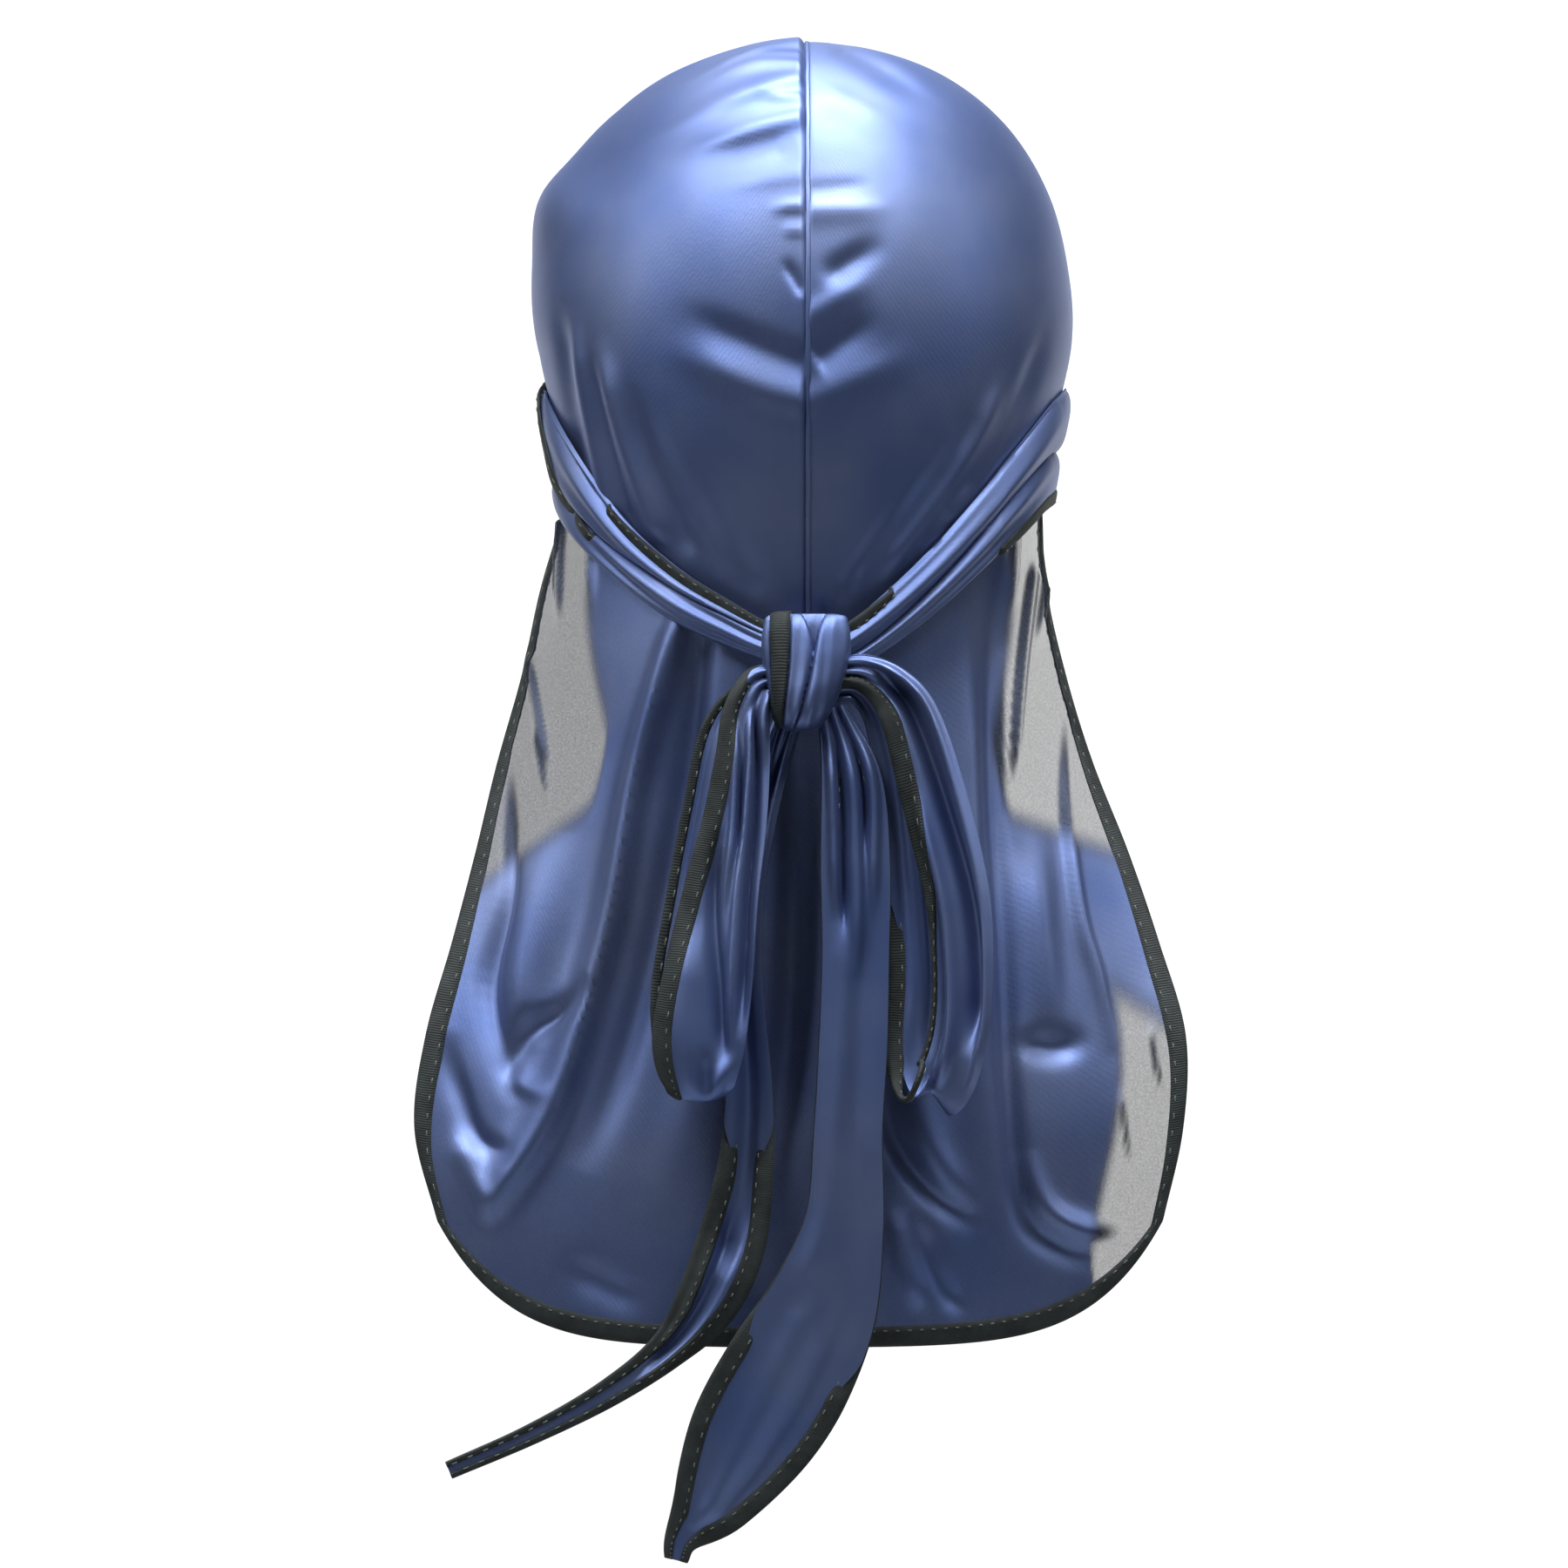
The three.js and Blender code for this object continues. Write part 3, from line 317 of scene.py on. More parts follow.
CAPE_STATIONS = table(
    "spread lean edge back",
    (0, 0, 0, 0),
    (0.115, 1, 0.05, 0.08),
    (0.25, 1, 0.16, 0.22),
    (0.43, 0.9, 0.32, 0.42),
    (0.62, 0.3, 0.5, 0.63),
    (0.8, 0, 0.67, 0.82),
    (0.97, 0, 0.82, 0.96),
    (0.99, 0.6, 0.92, 1),
    (0.83, 0.5, 1, 0.96),
)
TIE_COLUMNS = "round above width lift"
LEFT_TIE = table(
    TIE_COLUMNS,
    (0, 0.3, 0.4, 0),
    (0.1, 0.36, 0.66, 0),
    (0.22, 0.42, 0.9, 0),
    (0.36, 0.41, 0.96, 0),
    (0.5, 0.25, 0.79, 0),
    (0.65, 0.11, 0.53, 0),
    (0.77, 0.05, 0.43, 0.02),
    (0.87, 0.02, 0.35, 0.1),
    (0.94, -0.05, 0.28, 0.3),
    (0.98, -0.1, 0.24, 0.5),
)
RIGHT_TIE = table(
    TIE_COLUMNS,
    (0, 0.3, 0.4, 0),
    (0.1, 0.36, 0.66, 0),
    (0.22, 0.42, 0.9, 0),
    (0.36, 0.44, 0.96, 0),
    (0.5, 0.44, 0.86, 0),
    (0.65, 0.35, 0.7, 0),
    (0.77, 0.2, 0.56, 0.02),
    (0.87, 0.02, 0.46, 0.1),
    (0.94, -0.13, 0.38, 0.3),
    (0.98, -0.22, 0.32, 0.5),
)
# The ribs that a tie is folded into: the places across it of the creases between them, from its lower
# edge at -1 to its upper one at 1, how far round each row is and how high the ribs stand there.
LEFT_RIBS = table(
    "crease second height",
    (-0.3, 0.96, 1.2),
    (-0.35, 0.96, 1.6),
    (-0.5, 0.96, 2.4),
    (-0.3, 0.84, 3),
    (0.24, 0.7, 2.6),
    (0.4, 0.62, 2.2),
    (0.42, 0.62, 2),
)
RIGHT_RIBS = table(
    "crease second height",
    (-0.5, 0.96, 1.2),
    (-0.3, 0.96, 1.6),
    (-0.1, 0.96, 2.6),
    (0.02, 0.96, 3.4),
    (-0.12, 0.96, 3.4),
    (-0.35, 0.9, 3),
    (-0.35, 0.5, 2.4),
)
# Where each tie's tape shows: the places of its middle along the tie and across it, and its width there.
TAPE_COLUMNS = "along across width"
LEFT_SIDE_TAPE = table(
    TAPE_COLUMNS,
    (0.2, 1, 5.6),
    (0.28, 0.95, 5.6),
    (0.335, 0.7, 5.6),
    (0.375, 0.2, 5.6),
    (0.42, -0.2, 5),
    (0.47, -0.38, 4),
    (0.52, -0.42, 2.6),
)
LEFT_KNOT_TAPE = table(
    TAPE_COLUMNS,
    (0.53, 0.86, 2.4),
    (0.62, 0.84, 3.6),
    (0.75, 0.74, 4.2),
    (0.86, 0.64, 4.2),
    (0.985, 0.6, 3.8),
)
RIGHT_SIDE_TAPE = table(
    TAPE_COLUMNS,
    (0.1, -0.8, 5),
    (0.3, -0.84, 5),
    (0.42, -0.86, 4.6),
    (0.5, -0.86, 3.6),
    (0.56, -0.84, 2.4),
)
RIGHT_KNOT_TAPE = table(
    TAPE_COLUMNS,
    (0.76, 0.9, 2),
    (0.84, 0.84, 3.4),
    (0.92, 0.76, 4),
    (0.985, 0.7, 4),
)

KNOT_RINGS = table(
    "up width depth",
    (0.5, 0, 0),
    (0.49, 0.8, 0.2),
    (0.4, 0.95, 0.5),
    (0.22, 1, 0.72),
    (0.02, 0.94, 0.9),
    (-0.18, 0.8, 1.06),
    (-0.36, 0.62, 1.04),
    (-0.47, 0.42, 0.7),
    (-0.5, 0, 0),
)
# Where the turns of cloth round the knot meet, from its top to its bottom, in millimetres from its middle
KNOT_WRAPS = table(
    "edge tape first second",
    (-10.2, -4.2, -2.6, 7),
    (-10.2, -4.4, -0.4, 4.6),
    (-9.9, -4.8, 1.9, 2.1),
    (-9.2, -5, 0.4, 0.5),
    (-8.2, -5.2, -1.2, -1.1),
    (-6.8, -5.2, -2.6, -2.5),
)
KNOT_LEAN = -1.7  # how far its bottom is to the left

BAND_COLUMNS = "across down half out slant yaw"
LEFT_LOOP = table(
    BAND_COLUMNS,
    (0.24, 0.02, 0.3, 2.5, 82, 0),
    (0.42, 0.03, 0.38, 2.8, 76, 0),
    (0.54, 0.1, 0.48, 3.1, 42, 0),
    (0.57, 0.21, 0.56, 3.4, 12, 0),
    (0.64, 0.36, 0.66, 3.7, 4, -8),
    (0.76, 0.53, 0.78, 4, 6, -12),
    (0.86, 0.7, 0.9, 4.2, 6, -12),
    (0.95, 0.87, 0.96, 4.2, 8, -10),
    (0.97, 0.97, 0.78, 3.8, 4, -6),
    (0.98, 0.995, 0.6, 3.1, 2, 0),
    (0.98, 0.94, 0.8, 2.5, 6, 0),
    (0.96, 0.78, 0.97, 2.2, 6, 0),
    (0.87, 0.54, 0.86, 2.1, 4, 0),
    (0.77, 0.33, 0.76, 2.1, 6, 0),
    (0.69, 0.15, 0.6, 2, 32, 0),
    (0.48, 0.06, 0.4, 1.9, 74, 0),
    (0.26, 0.05, 0.3, 1.8, 82, 0),
)
RIGHT_LOOP = table(
    BAND_COLUMNS,
    (0.18, 0, 0.3, 2.4, 82, 0),
    (0.38, 0, 0.38, 2.8, 76, 0),
    (0.56, 0.04, 0.5, 3.1, 50, 0),
    (0.7, 0.12, 0.6, 3.4, 24, 0),
    (0.86, 0.32, 0.68, 3.7, 8, 14),
    (1, 0.54, 0.7, 4, 0, 24),
    (1.03, 0.72, 0.7, 4.1, -4, 30),
    (1, 0.87, 0.68, 4, -12, 28),
    (0.9, 0.975, 0.66, 3.4, -18, 20),
    (0.8, 0.985, 0.66, 2.7, -16, 10),
    (0.74, 0.9, 0.68, 2.1, -6, 4),
    (0.76, 0.72, 0.68, 1.8, 0, 0),
    (0.72, 0.5, 0.62, 1.6, 2, 0),
    (0.65, 0.27, 0.56, 1.6, 10, 0),
    (0.52, 0.1, 0.44, 1.6, 36, 0),
    (0.35, 0.03, 0.36, 1.7, 74, 0),
    (0.18, 0.03, 0.3, 1.7, 82, 0),
)
LEFT_TAIL = table(
    BAND_COLUMNS,
    (0.04, 0.04, 0.4, 0.9, 0, 0),
    (0.11, 0.14, 0.5, 0.9, 0, 0),
    (0.165, 0.27, 0.5, 1, 0, 0),
    (0.175, 0.4, 0.56, 1, 0, 0),
    (0.16, 0.52, 0.66, 1, 2, 0),
    (0.17, 0.62, 0.8, 1.1, 6, 0),
    (0.21, 0.715, 0.98, 1.3, 14, 0),
    (0.28, 0.79, 0.9, 1.5, 30, 0),
    (0.39, 0.85, 0.56, 1.6, 50, 0),
    (0.56, 0.905, 0.4, 1.7, 60, 0),
    (0.77, 0.955, 0.3, 1.7, 66, 0),
    (1, 1, 0.26, 1.7, 66, 0),
)
RIGHT_TAIL = table(
    BAND_COLUMNS,
    (0.2, 0.04, 0.22, 2.2, 0, 0),
    (0.35, 0.12, 0.46, 2.5, 0, 0),
    (0.38, 0.22, 0.53, 2.6, 0, 0),
    (0.38, 0.32, 0.51, 2.6, 0, 0),
    (0.36, 0.42, 0.52, 2.7, 0, 0),
    (0.32, 0.52, 0.52, 2.8, 0, 0),
    (0.29, 0.62, 0.6, 2.9, -4, 0),
    (0.12, 0.715, 0.84, 3.1, -20, 0),
    (-0.16, 0.795, 0.98, 3.2, -32, 0),
    (-0.45, 0.865, 0.92, 3.2, -36, 0),
    (-0.73, 0.933, 0.62, 3.2, -38, 0),
    (-0.95, 0.975, 0.28, 3.2, -24, 0),
    (-1, 1, 0.18, 3.2, -10, 0),
)
# Lengthwise folds of a band: where each runs across it at its start and its end, its width there as a
# share of half the band's, its height in millimetres, and the shares of the length where it starts and
# ends.
RIDGE_COLUMNS = "start end width height begins ends"
LEFT_LOOP_RIDGES = table(
    RIDGE_COLUMNS,
    (-0.75, -0.75, 0.2, 2.4, 0.04, 0.2),
    (-0.45, -0.8, 0.16, -3.2, 0.1, 0.44),
    (-0.2, -0.62, 0.14, 2.4, 0.1, 0.46),
    (0.1, -0.3, 0.1, -1.8, 0.17, 0.3),
    (0.36, -0.14, 0.13, 2.2, 0.13, 0.33),
    (0.4, -0.6, 0.2, -3.2, 0.25, 0.48),
    (0.55, 0, 0.34, 2.6, 0.33, 0.54),
    (-0.1, -0.2, 0.2, -2.6, 0.44, 0.52),
    (-0.6, -0.5, 0.2, 2.2, 0.44, 0.54),
    (-0.3, -0.3, 0.2, 1.4, 0.6, 0.95),
    (0.3, 0.2, 0.2, -1.2, 0.55, 0.95),
)
RIGHT_LOOP_RIDGES = table(
    RIDGE_COLUMNS,
    (0.64, 0.84, 0.16, 2.8, 0.05, 0.5),
    (0.12, 0.4, 0.3, -4.6, 0.08, 0.46),
    (-0.5, -0.2, 0.18, 3, 0.22, 0.52),
    (0.3, 0.3, 0.2, 1.2, 0.6, 0.95),
    (-0.3, -0.3, 0.2, -1.2, 0.6, 0.95),
)
LEFT_TAIL_RIDGES = table(
    RIDGE_COLUMNS,
    (0, 0, 0.5, -3.4, 0.02, 0.6),
    (-0.3, -0.4, 0.2, 1.5, 0.5, 0.8),
    (0.2, 0.1, 0.2, -1.4, 0.5, 0.78),
    (0.5, 0.4, 0.16, 1.2, 0.5, 0.76),
)
RIGHT_TAIL_RIDGES = table(
    RIDGE_COLUMNS,
    (-0.7, -0.6, 0.16, 2.4, 0.03, 0.22),
    (-0.4, -0.36, 0.1, -2.6, 0.03, 0.24),
    (0, 0.05, 0.2, 2.2, 0.03, 0.28),
    (0.4, 0.25, 0.09, -2.6, 0.03, 0.17),
    (0.7, 0.5, 0.16, 2, 0.03, 0.22),
    (-0.4, -0.5, 0.3, 1.2, 0.2, 0.6),
    (0.25, 0.3, 0.3, -1, 0.2, 0.62),
    (-0.2, 0.1, 0.3, 1.6, 0.55, 0.9),
    (0.4, 0.4, 0.25, -1.4, 0.55, 0.85),
)


def smooth(x):
    """0 at 0 and below, 1 at 1 and above, and an even slope between."""
    x = np.clip(x, 0, 1)
    return x * x * (3 - 2 * x)


def mix(a, b, share):
    return a + (b - a) * share


def unit(vectors):
    return vectors / np.maximum(np.linalg.norm(vectors, axis=-1, keepdims=True), 1e-9)


def column(rows, name, share, before=None):
    """One column of a table at shares of the way down it, on a smooth curve through its rows.

    before is the value that the curve comes from, where that isn't in line with the first two rows.
    """
    values = rows[name]
    first = 2 * values[0] - values[1] if before is None else before
    knots = np.concatenate([[first], values, [2 * values[-1] - values[-2]]])
    place = np.clip(np.asarray(share, float), 0, 1) * (len(values) - 1)
    i = np.minimum(place.astype(int), len(values) - 2)
    f = place - i
    a, b, c, d = (knots[i + k] for k in range(4))
    return b + 0.5 * f * (c - a + f * (2 * a - 5 * b + 4 * c - d + f * (3 * (b - c) + d - a)))


def short_paths(folds, steps=12):
    """Each short fold as points along it: x, z, its widths on its left and right, and its height."""
    shares = np.linspace(0, 1, steps + 1)
    paths = []
    for k in range(len(folds["x"])):
        f = {name: values[k] for name, values in folds.items()}
        x = (1 - shares) ** 2 * f["x"] + 2 * shares * (1 - shares) * f["bend_x"] + shares**2 * f["end_x"]
        z = (1 - shares) ** 2 * f["z"] + 2 * shares * (1 - shares) * f["bend_z"] + shares**2 * f["end_z"]
        rise = smooth(shares / f["rise"]) if f["rise"] else 1
        height = f["height"] * rise * smooth((1 - shares) / f["fade"])
        paths.append(np.column_stack([x, z, 0 * x + f["left"], 0 * x + f["right"], height]))
    return paths


def long_paths(folds, steps=6):
    """The same for long folds, each on a smooth curve through its rows."""
    paths = []
    for number in np.unique(folds["fold"]):
        rows = {name: values[folds["fold"] == number] for name, values in folds.items()}
        shares = np.linspace(0, 1, steps * (len(rows["x"]) - 1) + 1)
        names = ("x", "z", "left", "right", "height")
        paths.append(np.column_stack([column(rows, name, shares) for name in names]))
    return paths


def fold_heights(places, paths):
    """How high folds stand at places (x, z) in the back view."""
    height = np.zeros(places.shape[:-1])
    for path in paths:
        reach = 3 * path[:, 2:4].max()
        inside = (places > path[:, :2].min(0) - reach) & (places < path[:, :2].max(0) + reach)
        near = inside.all(-1)
        here = places[near]
        best = np.full(len(here), 1e9)
        along = np.zeros(len(here))
        side = np.zeros(len(here))
        for n, (a, b) in enumerate(zip(path[:-1, :2], path[1:, :2])):
            run = b - a
            part = np.clip((here - a) @ run / (run @ run), 0, 1)
            off = here - a - part[..., None] * run
            distance = np.hypot(off[..., 0], off[..., 1])
            nearer = distance < best
            best = np.where(nearer, distance, best)
            along = np.where(nearer, n + part, along)
            side = np.where(nearer, run[0] * off[..., 1] - run[1] * off[..., 0], side)
        left, right, tall = (np.interp(along, np.arange(len(path)), path[:, k]) for k in (2, 3, 4))
        height[near] += tall * np.exp(-((best / np.where(side > 0, left, right)) ** 2))
    return height


LEFT_PATHS = short_paths(LEFT_FOLDS)
RIGHT_PATHS = short_paths(RIGHT_FOLDS)
CORNER_PATHS = long_paths(LEFT_CORNER)
CAPE_PATHS = short_paths(SHORT_CAPE_FOLDS) + long_paths(LONG_CAPE_FOLDS)


def facing(surface, u, v):
    """The direction out of a surface at places on it."""
    step = 1e-3
    across = surface(u + step, v) - surface(u - step, v)
    down = surface(u, np.minimum(v + step, 1)) - surface(u, np.maximum(v - step, 0))
    normal = np.cross(down, across)
    flat = np.linalg.norm(normal, axis=-1) < 1e-7
    normal[flat] = (0, 0, 1)
    return unit(normal)


def bare_crown(turn, down):
    """The crown without its folds, at an angle round from the nape and a share of the way down."""
    side, rear = np.sin(turn), np.cos(turn)

    def end(what, before):
        back = column(MERIDIANS, "back_" + what, down, before and MERIDIANS["back_" + what][1])
        front = column(MERIDIANS, "front_" + what, down, before and MERIDIANS["front_" + what][1])
        return np.where(rear > 0, back, front)

    side_fall = SIDE_DROP * column(MERIDIANS, "side_down", down, MERIDIANS["side_down"][1])
    end_fall = np.where(rear > 0, NAPE_DROP, BROW_DROP) * end("down", True)
    return np.stack([
        HEAD_WIDTH / 2 * column(MERIDIANS, "side_out", down) * side,
        -HEAD_LENGTH / 2 * end("out", None) * rear,
        WALL / 2 - (side_fall * side**2 + end_fall * rear**2),
    ], -1)


def crown_at(turn, down):
    """The crown with its folds, which fade towards its edge, its seam and its front."""
    place = bare_crown(turn, down)
    seen = place[..., [0, 2]]
    aside = np.abs(place[..., 0])
    folds = np.where(turn < 0, fold_heights(seen, LEFT_PATHS), fold_heights(seen, RIGHT_PATHS))
    behind = smooth(-place[..., 1] / (HEAD_LENGTH / 8))
    rim = smooth((1 - down) / 0.04)
    from_seam = smooth((aside + 0.8) / 3)
    from_front = smooth((40 - place[..., 1]) / 60)
    height = folds * behind * rim * from_seam + fold_heights(seen, CORNER_PATHS) * from_front
    groove = -SEAM_GROOVE * np.exp(-(aside**2)) * smooth(down / 0.03)
    return place + facing(bare_crown, turn, down) * (height + groove)[..., None]


def past_rim(turn, distance):
    """A place past the crown's edge, in line with the cloth above it."""
    rim = bare_crown(turn, np.ones_like(turn))
    along = unit(rim - bare_crown(turn, np.full_like(turn, 0.97)))
    return rim + along * np.asarray(distance)[..., None]


def bare_cape(u, v):
    """The cape, from its left edge at u -1 to its right edge at 1, and from the crown's edge to the hem."""
    turn = u * CAPE_OPENING
    rim = past_rim(turn, np.full_like(turn, SEWN_GAP))
    middle = (np.cos(turn) - math.cos(CAPE_OPENING)) / (1 - math.cos(CAPE_OPENING))
    hem = -(NAPE_DROP + CAPE_LENGTH - CAPE_CORNERS * np.abs(u) ** HEM_ROUNDNESS)
    edge = CAPE_EDGE_SWEEP * column(CAPE_STATIONS, "edge", v)
    back = CAPE_BACK_SWEEP * column(CAPE_STATIONS, "back", v)
    spread = mix(rim[..., 0], CAPE_WIDTH / 2 * u, column(CAPE_STATIONS, "spread", v))
    return np.stack([
        spread - CAPE_LEAN * column(CAPE_STATIONS, "lean", v),
        rim[..., 1] - mix(edge, back, middle),
        mix(rim[..., 2], hem, v),
    ], -1)


def cape_at(a, b, inset):
    """The folded cape within an inset from its edges. a is -1 to 1 across, and b 0 to 1 down."""
    edge, middle = bare_cape(np.ones_like(b), b), bare_cape(np.zeros_like(b), b)
    half_row = np.linalg.norm(edge - middle, axis=-1)
    u = a * (1 - inset / half_row)
    v = b * (1 - inset / CAPE_LENGTH)
    place = bare_cape(u, v)
    height = fold_heights(place[..., [0, 2]], CAPE_PATHS)
    calm = smooth((1 - np.abs(u)) / 0.06) * 0.75 + 0.25
    return place + facing(bare_cape, u, v) * (height * calm)[..., None]


def body_at(turn, above):
    """The crown or, past its edge, the cape, at a distance above that edge."""
    last_row = np.linalg.norm(
        bare_crown(turn, np.ones_like(turn)) - bare_crown(turn, np.full_like(turn, 0.9)), axis=-1
    ) / 0.1
    on_crown = bare_crown(turn, np.clip(1 - above / last_row, 0, 1))
    u = np.clip(turn / CAPE_OPENING, -1, 1)
    on_cape = bare_cape(u, np.clip(-above / CAPE_LENGTH, 0, 1))
    beyond = past_rim(turn, -above)
    hanging = (np.abs(turn) < CAPE_OPENING)[..., None]
    return np.where((above < 0)[..., None], np.where(hanging, on_cape, beyond), on_crown)


def tie_frame(hand, s):
    """The middle of a tie, its directions up and out, and half its width."""
    rows = LEFT_TIE if hand < 0 else RIGHT_TIE
    turn = hand * TIE_REACH * (1 - column(rows, "round", s))
    above = TIE_WIDTH * column(rows, "above", s)
    half = TIE_WIDTH / 2 * column(rows, "width", s)
    low, high = body_at(turn, above - half), body_at(turn, above + half)
    up = unit(high - low)
    middle = (low + high) / 2
    out = unit(np.cross(body_at(turn + 0.02, above) - body_at(turn - 0.02, above), up))
    under = [
        ((body_at(turn, above + half * k / 4) - middle) * out).sum(-1) for k in range(-4, 5)
    ]
    bulge = np.maximum(np.max(under, 0), 0)
    lift = KNOT_DEPTH * column(rows, "lift", s)
    return middle + out * (UNDER_TIE + LAID_GAP + bulge + lift)[..., None], up, out, half


def tie_at(hand, s, w):
    """A tie, from where it is sewn on to the knot, and from its lower edge at -1 to its upper one at 1."""
    ribs = LEFT_RIBS if hand < 0 else RIGHT_RIBS
    middle, up, out, half = tie_frame(hand, s)
    crease, second = column(ribs, "crease", s), column(ribs, "second", s)
    first_rib = (w + 1) / (crease + 1)
    second_rib = (w - crease) / (second - crease)
    third_rib = (w - second) / (1 - second)
    rib = np.where(w < crease, first_rib, np.where(w < second, second_rib, third_rib))
    size = np.where(w < crease, 1.0, np.where(w < second, 0.95, 0.35))
    arch = (1 - np.abs(2 * np.clip(rib, 0, 1) - 1) ** 3) ** 0.7 * size
    pull = 0.22 * np.sin(w * 9 + s * 6) * smooth((s - 0.3) / 0.3)
    height = column(ribs, "height", s) * arch * (1 + pull) - RIB_FOOT
    return middle + up * (half * w)[..., None] + out * height[..., None]


def cape_reach(drop):
    """How far behind the crown's middle the cape's is, at a drop from the top."""
    v = np.clip((drop - NAPE_DROP) / CAPE_LENGTH, 0, 1)
    return -bare_cape(np.zeros_like(v), v)[..., 1]


KNOT_Z = -(NAPE_DROP + KNOT_DROP)
KNOT_Y = -(cape_reach(np.array(-KNOT_Z)) + WALL / 2 + TAPE_WALL + LAID_GAP + KNOT_DEPTH / 2)


def band_at(band, s, w, raised=0.0):
    """A hanging band. s runs along it, and w across it from its inner edge at -1 to its outer one."""
    rows, hand = band["rows"], band["hand"]

    def middle_at(share):
        drop = band["length"] * column(rows, "down", share) - KNOT_Z
        reach = cape_reach(drop) + LAYER * (FIRST_LAYER + column(rows, "out", share))
        return np.stack([hand * band["swing"] * column(rows, "across", share), -reach, -drop], -1)

    along = unit(middle_at(np.minimum(s + 0.01, 1)) - middle_at(np.maximum(s - 0.01, 0)))
    slant = column(rows, "slant", s) * DEGREE
    yaw = column(rows, "yaw", s) * DEGREE
    level, rising = np.cos(slant) * np.cos(yaw), np.sin(slant) * np.cos(yaw)
    across = np.stack([hand * level, -np.sin(yaw), rising], -1)
    across = unit(across - along * (across * along).sum(-1, keepdims=True))
    out = -hand * np.cross(across, along)
    height = raised + 0 * w
    ridges = band["ridges"]
    for k in range(len(ridges["start"])):
        r = {name: ridges[name][k] for name in ridges}
        aside = w - mix(r["start"], r["end"], smooth((s - r["begins"]) / (r["ends"] - r["begins"])))
        near = smooth((s - r["begins"]) / 0.06) * smooth((r["ends"] - s) / 0.06)
        height = height + r["height"] * np.exp(-((aside / r["width"]) ** 2)) * near
    held = np.minimum(s, 1 - s) if band["loop"] else s
    height = height + band["gathers"] * np.cos(w * 3.2 * math.pi) * (1 - smooth(held / 0.16))
    half = band["width"] / 2 * column(rows, "half", s)
    place = middle_at(s) + across * (half * w)[..., None] + out * height[..., None]
    place[..., 2] -= band["sag"] * (1 - w**2) * np.exp(-(((s - LOOP_TURN) / 0.07) ** 2))
    return place


def only(*pieces):
    """Selects these pieces and nothing else, and makes the first one active."""
    bpy.ops.object.select_all(action="DESELECT")
    for piece in pieces:
        piece.select_set(True)
    bpy.context.view_layer.objects.active = pieces[0]


def apply_modifier(piece, kind, **settings):
    """Changes a piece's mesh by a modifier at once, so that none is left on it."""
    only(piece)
    modifier = piece.modifiers.new(kind.title(), kind)
    for name, value in settings.items():
        setattr(modifier, name, value)
    bpy.ops.object.modifier_apply(modifier=modifier.name)


def cloth_grid(name, across, down, surface, size):
    """A grid laid on a surface that is given in millimetres at shares across and down.

    across and down are its numbers of cells. size is what its weave is measured on, in millimetres.
    """
    bpy.ops.object.select_all(action="DESELECT")
    bpy.ops.mesh.primitive_grid_add(x_subdivisions=across, y_subdivisions=down, size=1)
    piece = bpy.context.object
    piece.name = piece.data.name = name
    flat = np.empty(len(piece.data.vertices) * 3)
    piece.data.vertices.foreach_get("co", flat)
    u, v = flat[0::3] + 0.5, 0.5 - flat[1::3]
    piece.data.vertices.foreach_set("co", (surface(u, v) * MM).ravel())
    uv = piece.data.uv_layers.active.uv
    places = np.empty(len(uv) * 2)
    uv.foreach_get("vector", places)
    places[0::2] *= size[0] * MM
    places[1::2] *= size[1] * MM
    uv.foreach_set("vector", places)
    piece.data.update()
    return piece, u, v


def tidy_sheet(piece):
    """Closes seams and poles, and turns all faces the same way."""
    only(piece)
    bpy.ops.object.mode_set(mode="EDIT")
    bpy.ops.mesh.select_all(action="SELECT")
    bpy.ops.mesh.remove_doubles(threshold=1e-6)
    bpy.ops.mesh.normals_make_consistent(inside=False)
    bpy.ops.object.mode_set(mode="OBJECT")


def finish_piece(piece, material, node):
    """Smooths a piece, hangs it on the root and hides the part that it stands for. With no material it
    keeps those that it has.
    """
    only(piece)
    bpy.ops.object.shade_smooth_by_angle(angle=SMOOTH_ANGLE)
    if material:
        piece.data.materials.clear()
        piece.data.materials.append(material)
    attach(piece, "root")
    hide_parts(node)
    return piece


def make_sheet(name, across, down, surface, size, thickness):
    """A piece of cloth with a real thickness, half of it on either face of the surface."""
    piece, _, _ = cloth_grid(name, across, down, surface, size)
    tidy_sheet(piece)
    apply_modifier(piece, "SOLIDIFY", thickness=thickness * MM, offset=0)
    return piece


def make_tape(name, steps, surface, length, thickness=TAPE):
    """Tape folded over an edge: a strip that is thickest along its middle and rounded at its edges."""
    piece, u, _ = cloth_grid(name, 8, steps, surface, (TAPE_WIDTH, length))
    group = piece.vertex_groups.new(name="thickness")
    rounded = (1 - np.abs(2 * u - 1) ** 3) ** 0.5
    for weight in np.unique(np.round(rounded, 4)):
        chosen = np.flatnonzero(np.isclose(rounded, weight, atol=6e-5))
        group.add(chosen.tolist(), float(weight), "REPLACE")
    tidy_sheet(piece)
    apply_modifier(
        piece, "SOLIDIFY", thickness=thickness * MM, offset=0,
        vertex_group="thickness", thickness_vertex_group=0.25,
    )
    piece.data.materials.append(TAPE_CLOTH)
    return piece


